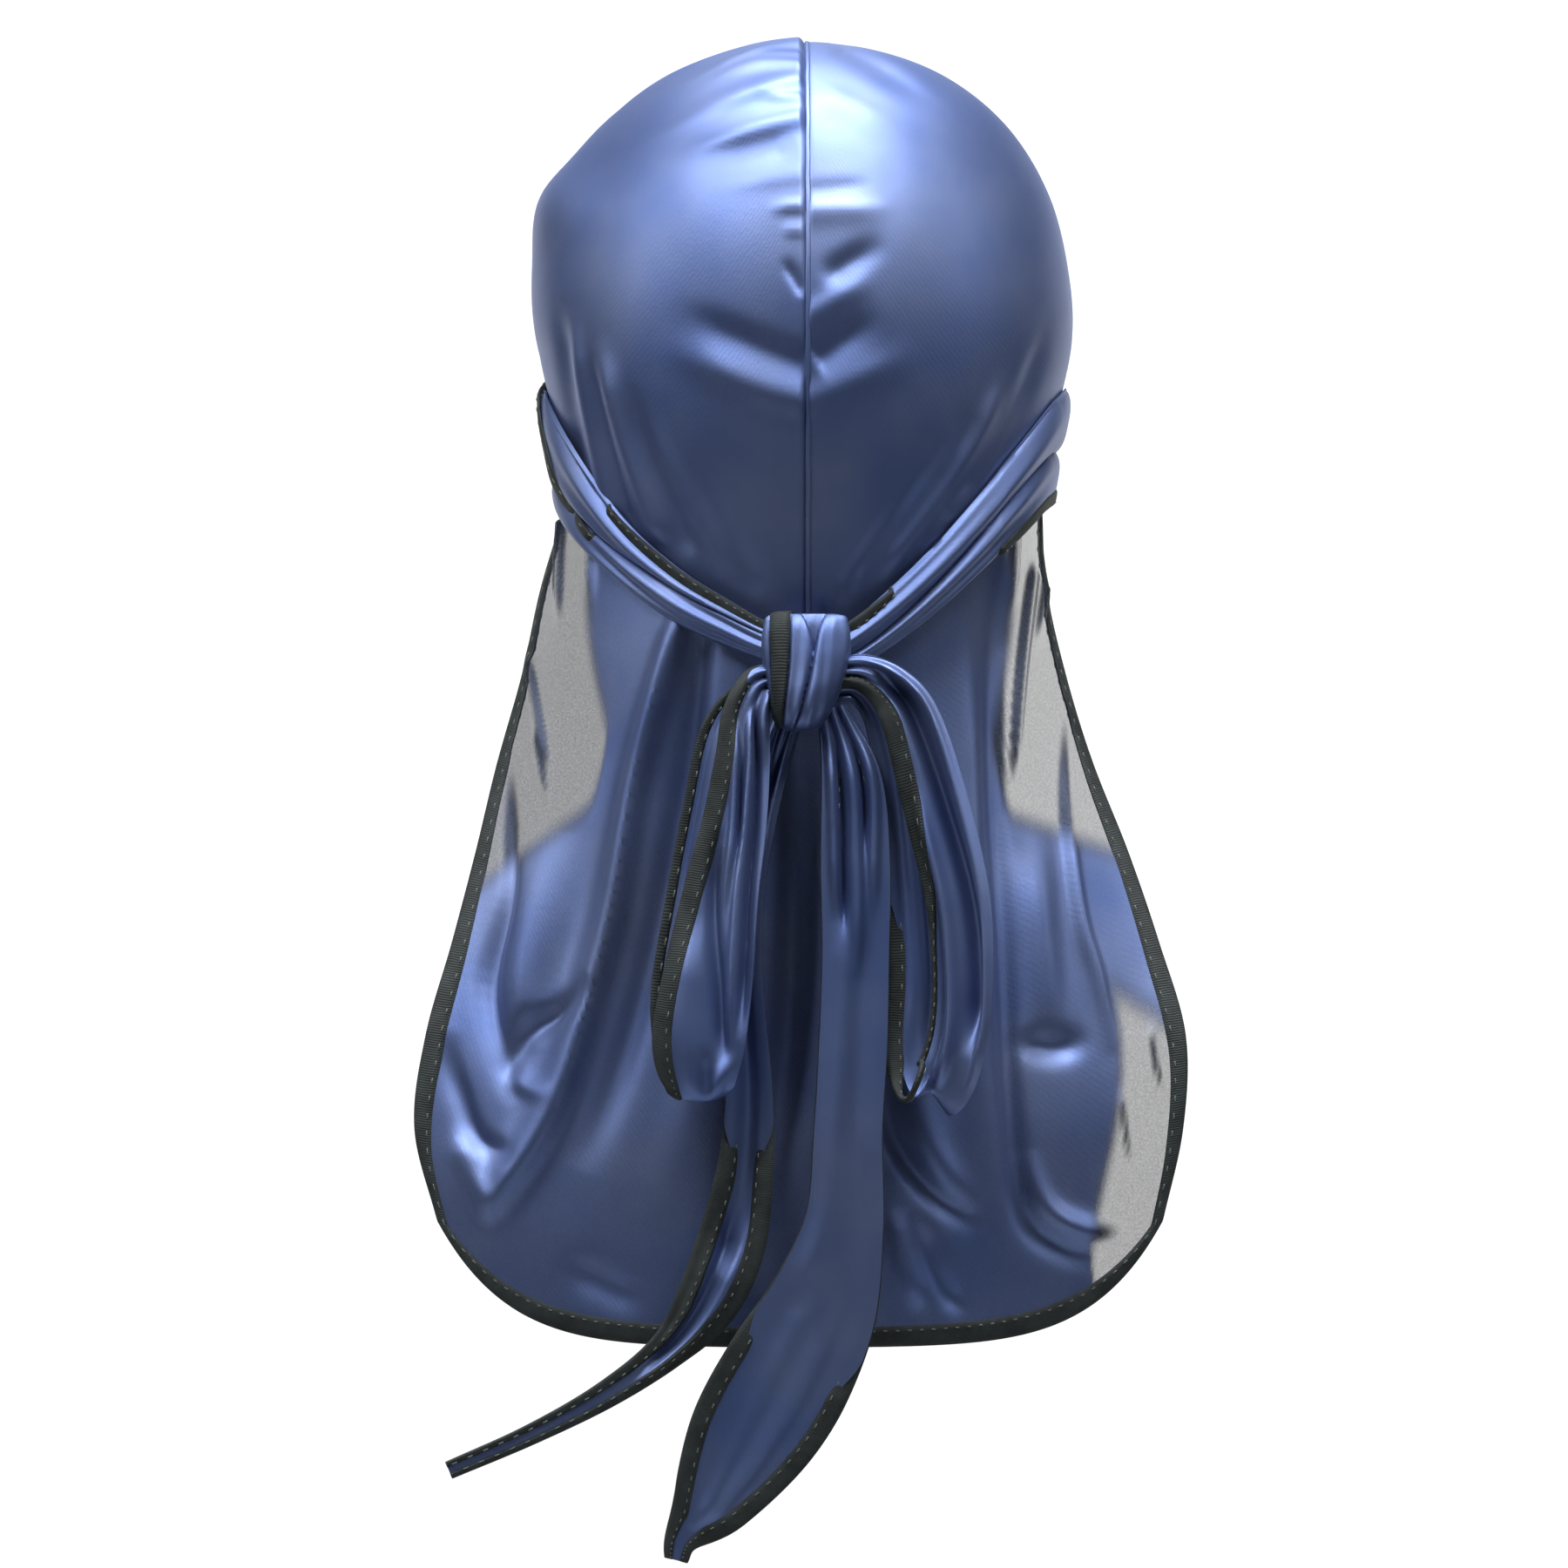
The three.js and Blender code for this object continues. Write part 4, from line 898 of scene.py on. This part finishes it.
def stitch_row(name, surface, length):
    """A thread that comes up through a tape and goes down again, stitch after stitch."""
    count = max(int(length / STITCH), 2)

    def thread_tube(u, v):
        inset = np.full_like(v, STITCH_LINE)
        turn = 2 * math.pi * u
        middle = surface(inset, v)
        ahead = unit(surface(inset, np.minimum(v + 1e-3, 1)) - surface(inset, np.maximum(v - 1e-3, 0)))
        aside = unit(surface(inset + 0.1, v) - surface(inset - 0.1, v))
        out = unit(np.cross(aside, ahead))
        rise = (TAPE / 2) * np.clip(1.5 * np.cos(2 * math.pi * count * v), -1, 1)
        around = aside * np.cos(turn)[:, None] + out * np.sin(turn)[:, None]
        radius = THREAD_WIDTH / 2 * np.minimum(1, 400 * v * (1 - v))
        return middle + out * rise[:, None] + around * radius[:, None]

    piece, _, _ = cloth_grid(name, 6, count * 8, thread_tube, (2, length))
    tidy_sheet(piece)
    piece.data.materials.append(THREAD)
    return piece


def join(parts):
    """Joins pieces of one tape into the first of them."""
    only(*parts)
    bpy.ops.object.join()
    return parts[0]


def linear(colour):
    """An sRGB hex colour as Blender's linear one."""
    parts = [int(colour[i:i + 2], 16) / 255 for i in (1, 3, 5)]
    return (*[c / 12.92 if c <= 0.04045 else ((c + 0.055) / 1.055) ** 2.4 for c in parts], 1)


def new_material(name, **settings):
    """A material, its node tree and its shader, whose sockets the settings name."""
    material = bpy.data.materials.new(name)
    material.use_nodes = True
    shader = material.node_tree.nodes["Principled BSDF"]
    for socket, value in settings.items():
        shader.inputs[socket.replace("_", " ")].default_value = value
    return material, material.node_tree, shader


def add_node(tree, kind, links=(), values=(), **settings):
    """Adds a node, links outputs to its sockets, and sets sockets by number and the rest by name."""
    node = tree.nodes.new("ShaderNode" + kind)
    for name, value in settings.items():
        socket = node.inputs.get(name)
        if socket is not None and not hasattr(node, name):
            socket.default_value = value
        else:
            setattr(node, name, value)
    for number, value in dict(values).items():
        node.inputs[number].default_value = value
    for socket, source in dict(links).items():
        tree.links.new(source, node.inputs[socket])
    return node


def mottled(tree, place, scale, detail, *stops):
    """A cloudy change between two shades, each given with its position on the ramp."""
    cloud = add_node(tree, "TexNoise", {"Vector": place.outputs["Object"]}, Scale=scale, Detail=detail)
    tone = add_node(tree, "ValToRGB", {"Fac": cloud.outputs["Fac"]})
    for element, (position, shade) in zip(tone.color_ramp.elements, stops):
        element.position = position
        element.color = linear(shade)
    return tone.outputs["Color"]


def weighted_sum(tree, first, weight, second):
    """first times weight, plus second."""
    node = add_node(tree, "Math", {0: first, 2: second}, {1: weight}, operation="MULTIPLY_ADD")
    return node.outputs[0]


def satin(name, sheer=False):
    """Polyester satin, woven with long floats: they give a wide soft gloss over a deep navy."""
    material, tree, shader = new_material(
        name, Roughness=0.5, Metallic=0.86, Specular_IOR_Level=0.6,
        Sheen_Weight=0.06, Sheen_Roughness=0.4, Sheen_Tint=linear("#8FA6E6"),
    )
    place = add_node(tree, "TexCoord")
    colour = mottled(tree, place, 26.0, 3.0, (0.3, "#465784"), (0.7, "#5A678B"))
    # the floats run slantwise, drawn 1.3 mm apart: coarser than the real weave, so that they show
    weave = add_node(
        tree, "TexWave", {"Vector": place.outputs["UV"]},
        bands_direction="DIAGONAL", Scale=330.0, Distortion=1.5, Detail=1.0,
    )
    speck = add_node(tree, "TexNoise", {"Vector": place.outputs["Object"]}, Scale=900.0, Detail=2.0)
    relief = weighted_sum(tree, weave.outputs["Fac"], 0.3, speck.outputs["Fac"])
    bump = add_node(tree, "Bump", {"Height": relief}, Strength=0.26, Distance=0.0001)
    tree.links.new(bump.outputs["Normal"], shader.inputs["Normal"])
    if sheer:
        # a single layer with the light behind it looks grey and grainy, where a double one is glossy:
        # painted shade darkens its colour there towards near-black
        single = add_node(tree, "Attribute", attribute_name="single")
        single_layer_shade = add_node(
            tree, "Mix", {0: single.outputs["Fac"], 6: colour}, {7: linear("#161A22")},
            data_type="RGBA",
        )
        colour = single_layer_shade.outputs[2]
        cover = add_node(tree, "Attribute", attribute_name="cover")
        grain = add_node(tree, "TexNoise", {"Vector": place.outputs["Object"]}, Scale=1700.0, Detail=1.0)
        alpha = weighted_sum(tree, grain.outputs["Fac"], 0.3, cover.outputs["Fac"])
        tree.links.new(alpha, shader.inputs["Alpha"])
    tree.links.new(colour, shader.inputs["Base Color"])
    return material


def binding():
    """Woven polyester tape, pressed over the edge: matt, green-black, with a fine rib across it."""
    material, tree, shader = new_material(
        "woven_binding_tape", Roughness=0.66, Specular_IOR_Level=0.25,
        Sheen_Weight=0.04, Sheen_Roughness=0.5, Sheen_Tint=linear("#8A937C"),
    )
    place = add_node(tree, "TexCoord")
    colour = mottled(tree, place, 160.0, 4.0, (0.35, "#0B1113"), (0.72, "#1B2325"))
    tree.links.new(colour, shader.inputs["Base Color"])
    # the ribs of the weave lie 0.6 mm apart
    ribs = add_node(
        tree, "TexWave", {"Vector": place.outputs["UV"]},
        bands_direction="Y", Scale=520.0, Distortion=2.0, Detail=2.0,
    )
    bump = add_node(tree, "Bump", {"Height": ribs.outputs["Fac"]}, Strength=0.35, Distance=0.0002)
    tree.links.new(bump.outputs["Normal"], shader.inputs["Normal"])
    return material


def thread():
    """Spun polyester sewing thread: matt and a little lighter than the tape that it sews."""
    material, _, _ = new_material("sewing_thread", Roughness=0.7, Base_Color=linear("#454B48"))
    return material


SATIN = satin("polyester_satin")
SHEER = satin("sheer_polyester_satin", sheer=True)
TAPE_CLOTH = binding()
THREAD = thread()


def flat_area(surface, across, down):
    """The area of a surface in square metres, summed over a grid of small flat cells."""
    u, v = np.meshgrid(np.linspace(0, 1, across + 1), np.linspace(0, 1, down + 1))
    p = (surface(u.ravel(), v.ravel()) * MM).reshape(down + 1, across + 1, 3)
    one = np.cross(p[1:, 1:] - p[:-1, :-1], p[1:, :-1] - p[:-1, 1:])
    return float(np.linalg.norm(one, axis=-1).sum() / 2)


# The crown's two panels, finer at the back where the folds are
for side, hand in [("left", -1), ("right", 1)]:

    def panel(u, v, hand=hand):
        place = crown_at(hand * math.pi * u**1.3, v**1.05)
        place[..., 0] += hand * 0.05
        return place

    piece = make_sheet("crown_" + side + "_satin", 190, 160, panel, (260, 220), CLOTH)
    finish_piece(piece, SATIN, "crown_" + side)


# The seam over the top
def seam_line(along):
    """From the nape at -1 over the top at 0 to the brow at 1."""
    return bare_crown(np.where(along < 0, 0.0, math.pi), np.minimum(np.abs(along), 1))


def seam_surface(u, v):
    along = mix(-0.99, 0.995, v)
    run = unit(seam_line(along + 0.01) - seam_line(along - 0.01))
    out = np.stack([np.zeros_like(u), -run[:, 2], run[:, 1]], -1)
    ripple = 0.25 * np.sin(v * 190) + 0.2 * np.sin(v * 83 + 1)
    place = seam_line(along) + out * (-0.1 + 0.1 * ripple)[:, None]
    place[:, 0] = 0.55 + (u - 0.5) * 1.4 + 0.15 * ripple
    return place


seam = make_tape("centre_seam_welt", 360, seam_surface, 400, WELT)
finish_piece(seam, SATIN, "centre_seam")


# Tape round the crown's front edge
def brow_surface(u, v):
    turn = mix(112.5, 247.5, v) * DEGREE
    return past_rim(turn, SEWN_GAP - TUCK + (TAPE_WIDTH + TUCK) * u)


brow = join([
    make_tape("brow_binding", 160, brow_surface, 260),
    stitch_row("brow_stitches", brow_surface, 260),
])
finish_piece(brow, None, "brow_tape")


# The cape, thinner to look at along its sides
def cape_surface(u, v):
    return cape_at(2 * u - 1, v, TAPE_WIDTH - TUCK)


cape, cape_u, cape_v = cloth_grid("cape_satin", 210, 200, cape_surface, (230, 200))
seen = cape_surface(cape_u, cape_v)[:, [0, 2]]
thinness = np.zeros(len(seen))
single = np.zeros(len(seen))
for hand, inner, top, bottom, slope, thin in zip(*WINDOWS.values()):
    outward = hand * (seen[:, 0] - inner)
    bent = outward + 5 * np.sin(seen[:, 1] / 21)
    # its lower end rises in a curve to its inner side
    low = bottom + slope * outward + 60 * smooth((8 - outward) / 16) ** 2
    between = smooth((seen[:, 1] - low) / 10) * smooth((top - outward * 0.6 - seen[:, 1]) / 14)
    inside = smooth((bent + 2) / 5) * between
    thinness = np.maximum(thinness, thin * inside)
    single = np.maximum(single, inside)
# folds stay dark in the sheer places, where light passes through more cloth
streak = smooth((np.abs(fold_heights(seen, CAPE_PATHS)) - 0.5) / 1.6)
# single marks where the sheer material's colour is darkened, a painted shade on the single-layer places
for name, values in [("cover", 0.81 - thinness * (1 - 0.9 * streak)), ("single", 0.9 * single)]:
    attribute = cape.data.attributes.new(name, "FLOAT", "POINT")
    attribute.data.foreach_set("value", values.astype(np.float32))
tidy_sheet(cape)
apply_modifier(cape, "SOLIDIFY", thickness=SHEER_CLOTH * MM, offset=0)
finish_piece(cape, SHEER, "cape")


def cape_tape_surface(u, v):
    """Down the left side, along the hem and up the right side."""
    side = 0.29
    a = np.clip((v - side) / (1 - 2 * side), 0, 1) * 2 - 1
    b = np.where(v < side, v / side, np.where(v > 1 - side, (1 - v) / side, 1.0))
    return cape_at(a, np.clip(b, 0, 1), TAPE_WIDTH * u)


cape_tape = join([
    make_tape("cape_binding", 620, cape_tape_surface, 650),
    stitch_row("cape_stitches", cape_tape_surface, 650),
])
finish_piece(cape_tape, None, "cape_tape")
flat_area(cape_surface, 60, 60) * 0.97

# The ties
for side, hand in [("left", -1), ("right", 1)]:
    tie = make_sheet(
        "tie_" + side + "_satin", 48, 220,
        lambda u, v, hand=hand: tie_at(hand, v * 0.985, 2 * u - 1), (36, 230), FOLDED_CLOTH,
    )
    finish_piece(tie, SATIN, "tie_" + side)


# The knot: cloth wound round itself, with deep grooves between the turns
def knot_at(across, v, raised=0.0):
    """A place on the front of the knot, across as a share of its half width there."""
    x = across * KNOT_WIDTH / 2 * column(KNOT_RINGS, "width", v)
    names = ("edge", "tape", "first", "second")
    edge, tape, first, second = (column(KNOT_WRAPS, name, v) for name in names)
    arch = np.full_like(x, -1.1)
    for low, high in [(-14.0, edge), (edge, tape), (tape, first), (second, 14.0)]:
        share = np.clip((2 * x - low - high) / (high - low), -1, 1)
        inside = (x >= low) & (x < high)
        arch = np.where(inside, np.sqrt(1 - share**4), arch)
    fine = 0.04 * np.sin(x * 1.7 + v * 5)
    over = 0.12 * smooth((x - second) / 1.2) * smooth((0.9 - v) / 0.4)
    swell = 0.8 + 0.22 * arch + fine + over
    front = -np.sqrt(np.clip(1 - across**2, 0, 1)) * KNOT_DEPTH / 2 * column(KNOT_RINGS, "depth", v)
    return np.stack([
        x + KNOT_LEAN * smooth((v - 0.4) / 0.5),
        KNOT_Y + front * swell - raised,
        KNOT_Z + KNOT_HEIGHT * column(KNOT_RINGS, "up", v),
    ], -1)


def knot_surface(u, v):
    """The knot all round: its front, where turns of cloth cross, and a plain back."""
    turn = 2 * math.pi * u
    across = np.cos(turn)
    front = knot_at(across, v)
    back = front.copy()
    back[..., 1] = KNOT_Y + np.sin(turn) * KNOT_DEPTH / 2 * column(KNOT_RINGS, "depth", v)
    return np.where((np.sin(turn) < 0)[..., None], front, back)


knot, _, _ = cloth_grid("knot_satin", 220, 110, knot_surface, (70, 40))
tidy_sheet(knot)
finish_piece(knot, SATIN, "knot")


# The ties' tape: each tie shows it along two stretches, and the left one's goes on over the knot
def dive(v):
    """How far a strip has gone down under the cloth at either of its ends."""
    return DIVE * (1 - smooth(v / 0.05)) + DIVE * (1 - smooth((1 - v) / 0.05))


def tie_strip(hand, rows):
    """The surface of one stretch of a tie's tape."""
    def middle(v):
        return tie_at(hand, column(rows, "along", v), column(rows, "across", v))

    def surface(u, v):
        out = tie_frame(hand, column(rows, "along", v))[2]
        ahead = unit(middle(np.minimum(v + 0.02, 1)) - middle(np.maximum(v - 0.02, 0)))
        aside = unit(np.cross(out, ahead))
        place = middle(v) + aside * ((u - 0.5) * column(rows, "width", v))[:, None]
        return place + out * (TAPE_ON_TIE - dive(v))[:, None]

    return surface


def knot_strip(u, v):
    """The tape down the knot's left side."""
    down = mix(0.04, 0.86, v)
    half = KNOT_WIDTH / 2 * column(KNOT_RINGS, "width", down)
    x = mix(column(KNOT_WRAPS, "edge", down), column(KNOT_WRAPS, "tape", down), mix(0.02, 0.98, u))
    return knot_at(np.clip(x / half, -0.99, 0.99), down, 0.5)


for side, hand, tables in [
    ("left", -1, [LEFT_SIDE_TAPE, LEFT_KNOT_TAPE]),
    ("right", 1, [RIGHT_SIDE_TAPE, RIGHT_KNOT_TAPE]),
]:
    parts = []
    for rows in tables:
        surface = tie_strip(hand, rows)
        length = 220 * (rows["along"][-1] - rows["along"][0])
        parts.append(make_tape("tie_" + side + "_binding", 120, surface, length))
        parts.append(stitch_row("tie_" + side + "_stitches", surface, length))
    if side == "left":
        parts.append(make_tape("tie_left_binding", 60, knot_strip, 30))
    tape = join(parts)
    finish_piece(tape, None, "tie_" + side + "_tape")

# The bow's two loops and the ties' free ends. sag rounds a loop's bottom, gathers is the height of its
# small folds at the knot, and cells are those of its grid. edge_on says from where to where its tape is
# seen from the side, and how much of its width is lost there. shown says where the tape is in front.
BANDS = [
    dict(
        name="loop_left", rows=LEFT_LOOP, ridges=LEFT_LOOP_RIDGES, hand=-1, loop=True,
        swing=LEFT_LOOP_SWING, length=LOOP_LENGTH, width=LOOP_WIDTH, sag=3.4, gathers=0.9,
        taped=dict(outer=1), shown=(0.1, 0.88), edge_on=(0.5, 1, 0.5), cells=(44, 300),
    ),
    dict(
        name="loop_right", rows=RIGHT_LOOP, ridges=RIGHT_LOOP_RIDGES, hand=1, loop=True,
        swing=RIGHT_LOOP_SWING, length=LOOP_LENGTH, width=LOOP_WIDTH, sag=1.5, gathers=0.8,
        taped=dict(inner=-1), shown=(0, 0.7), edge_on=(0.24, 0.56, 0.7), cells=(40, 300),
    ),
    dict(
        name="tail_left", rows=LEFT_TAIL, ridges=LEFT_TAIL_RIDGES, hand=-1, loop=False,
        swing=LEFT_TAIL_SWING, length=LEFT_TAIL_LENGTH, width=LEFT_TAIL_WIDTH, sag=0, gathers=0.6,
        taped=dict(inner=-1, outer=1), shown=(0.46, 1), edge_on=(0, 0, 0), cells=(30, 280),
    ),
    dict(
        name="tail_right", rows=RIGHT_TAIL, ridges=RIGHT_TAIL_RIDGES, hand=1, loop=False,
        swing=RIGHT_TAIL_SWING, length=RIGHT_TAIL_LENGTH, width=RIGHT_TAIL_WIDTH, sag=0, gathers=0.9,
        taped=dict(inner=-1, outer=1), shown=(0.67, 1), edge_on=(0, 0, 0), cells=(40, 280),
    ),
]


def in_front(band, v):
    """1 where a band's tape shows, and 0 where it is turned behind the cloth."""
    start, end = band["shown"]
    return smooth((v - start) / 0.06 + 1) * smooth((end - v) / 0.06 + 1)


for band in BANDS:
    edges = band["taped"].values()

    def band_surface(u, v, band=band, edges=edges):
        half = band["width"] / 2 * column(band["rows"], "half", v)
        tucked = 1 - np.minimum((TAPE_WIDTH - TUCK) / half, 0.6) * in_front(band, v)
        low = -tucked if -1 in edges else -1
        high = tucked if 1 in edges else 1
        return band_at(band, v, mix(low, high, u))

    length = LOOP_CUT if band["loop"] else TAIL_CUT
    cloth = make_sheet(
        band["name"] + "_satin", *band["cells"], band_surface, (band["width"], length), CLOTH,
    )
    finish_piece(cloth, SATIN, band["name"])
    for edge_name, edge in band["taped"].items():

        def strip_surface(u, v, band=band, edge=edge):
            half = band["width"] / 2 * column(band["rows"], "half", v)
            share = np.minimum(TAPE_WIDTH / half, 0.7)
            start, end, lost = band["edge_on"]
            share = share * (1 - lost * smooth((v - start) / 0.12) * smooth((end - v) / 0.06 + 1))
            # a loop's back half faces the cape, so its tape hides the other way
            back_half = smooth((v - LOOP_TURN) / 0.06) if band["loop"] else 0
            hidden = HIDDEN * (2 * back_half - 1)
            return band_at(band, v, edge * (1.03 - share * u), mix(hidden, 0.15, in_front(band, v)))

        name = band["name"] + "_" + edge_name
        strip = join([
            make_tape(name + "_binding", band["cells"][1], strip_surface, length),
            stitch_row(name + "_stitches", strip_surface, length),
        ])
        finish_piece(strip, None, name + "_tape")
    flat_area(band_surface, 20, 120)


# The camera, as far behind the part and as high as the photograph's
camera_data = bpy.data.cameras.new("camera")
camera_data.lens = 123.5
camera_data.sensor_width = 36
camera = bpy.data.objects.new("camera", camera_data)
camera.location = (-0.0062, -1.6, -0.219)
camera.rotation_euler = (90 * DEGREE, 0, 0)
bpy.context.scene.collection.objects.link(camera)
bpy.context.scene.camera = camera

# A pale floor that curves up behind, in millimetres. The camera doesn't see its flat part, so that the
# durag stands before plain white from every side.
FLOOR_Z = -780
FLOOR_WIDTH = 9000
FLOOR_START = -3600
CURVE_START = 1400
CURVE_RADIUS = 1500
PAPER_LENGTH = 7500
FLAT_SHARE = (CURVE_START - FLOOR_START) / PAPER_LENGTH


def paper_surface(u, v):
    away = v * PAPER_LENGTH + FLOOR_START
    past = np.maximum(away - CURVE_START, 0)
    turn = np.minimum(past / CURVE_RADIUS, math.pi / 2)
    y = np.where(past > 0, CURVE_START + np.sin(turn) * CURVE_RADIUS, away)
    rise = (1 - np.cos(turn)) * CURVE_RADIUS + np.maximum(past - CURVE_RADIUS * math.pi / 2, 0)
    return np.stack([(u - 0.5) * FLOOR_WIDTH, y, FLOOR_Z + rise], -1)


paper, _, _ = new_material("backdrop_paper", Roughness=0.9, Base_Color=linear("#A3A3A2"))
for name, start, end, rows, to_camera in [
    ("floor", 0, FLAT_SHARE, 10, False),
    ("backdrop", FLAT_SHARE, 1, 80, True),
]:

    def stretch(u, v, start=start, end=end):
        return paper_surface(u, mix(start, end, v))

    sheet, _, _ = cloth_grid(name, 4, rows, stretch, (1, 1))
    only(sheet)
    bpy.ops.object.shade_smooth()
    sheet.visible_camera = to_camera
    sheet.data.materials.append(paper)
    sheet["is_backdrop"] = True


def area_light(name, place, target, size, power, spread):
    data = bpy.data.lights.new(name, "AREA")
    data.shape = "RECTANGLE"
    data.size, data.size_y = size
    data.energy = power
    data.spread = spread * DEGREE
    light = bpy.data.objects.new(name, data)
    light.location = place
    aim = np.array(target) - np.array(place)
    light.rotation_euler = Vector(aim).to_track_quat("-Z", "Y").to_euler()
    bpy.context.scene.collection.objects.link(light)


# Softboxes behind, above and at the sides, with grids that keep their light off the floor, so that cloth
# that faces down stays dark, and two lights that make the backdrop white
CROWN_MIDDLE = (0, 0, -0.15)
for name, place, size, power in [
    ("left_softbox", (-1.1, -0.9, 1.7), (1.0, 0.8), 6.2),
    ("right_softbox", (0.9, -1.0, 1.8), (1.0, 0.8), 5.0),
    ("middle_softbox", (0.1, -1.2, 1.7), (1.8, 0.6), 2.4),
    ("top_softbox", (0.1, 0.2, 2.2), (2.0, 1.3), 32.0),
    ("left_side", (-1.9, -0.2, 0.9), (0.6, 1.0), 2.0),
    ("right_side", (1.9, -0.2, 0.9), (0.6, 1.0), 1.2),
]:
    area_light(name, place, CROWN_MIDDLE, size, power, 60)
for name, hand in [("backdrop_left", -1), ("backdrop_right", 1)]:
    area_light(name, (hand * 2.2, 1.2, 1.0), (0, 3.2, -0.2), (1.5, 1.5), 93, 120)

world = bpy.data.worlds.new("studio")
world.use_nodes = True
background = world.node_tree.nodes["Background"]
background.inputs["Color"].default_value = linear("#DDE2EA")
# white to look at, and almost no light on the cloth
ray = add_node(world.node_tree, "LightPath")
strength = add_node(
    world.node_tree, "Math", {0: ray.outputs["Is Camera Ray"]}, {1: 1.4, 2: 0.015},
    operation="MULTIPLY_ADD",
)
world.node_tree.links.new(strength.outputs[0], background.inputs["Strength"])
bpy.context.scene.world = world
bpy.context.scene.view_settings.view_transform = "Standard"

low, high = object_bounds()
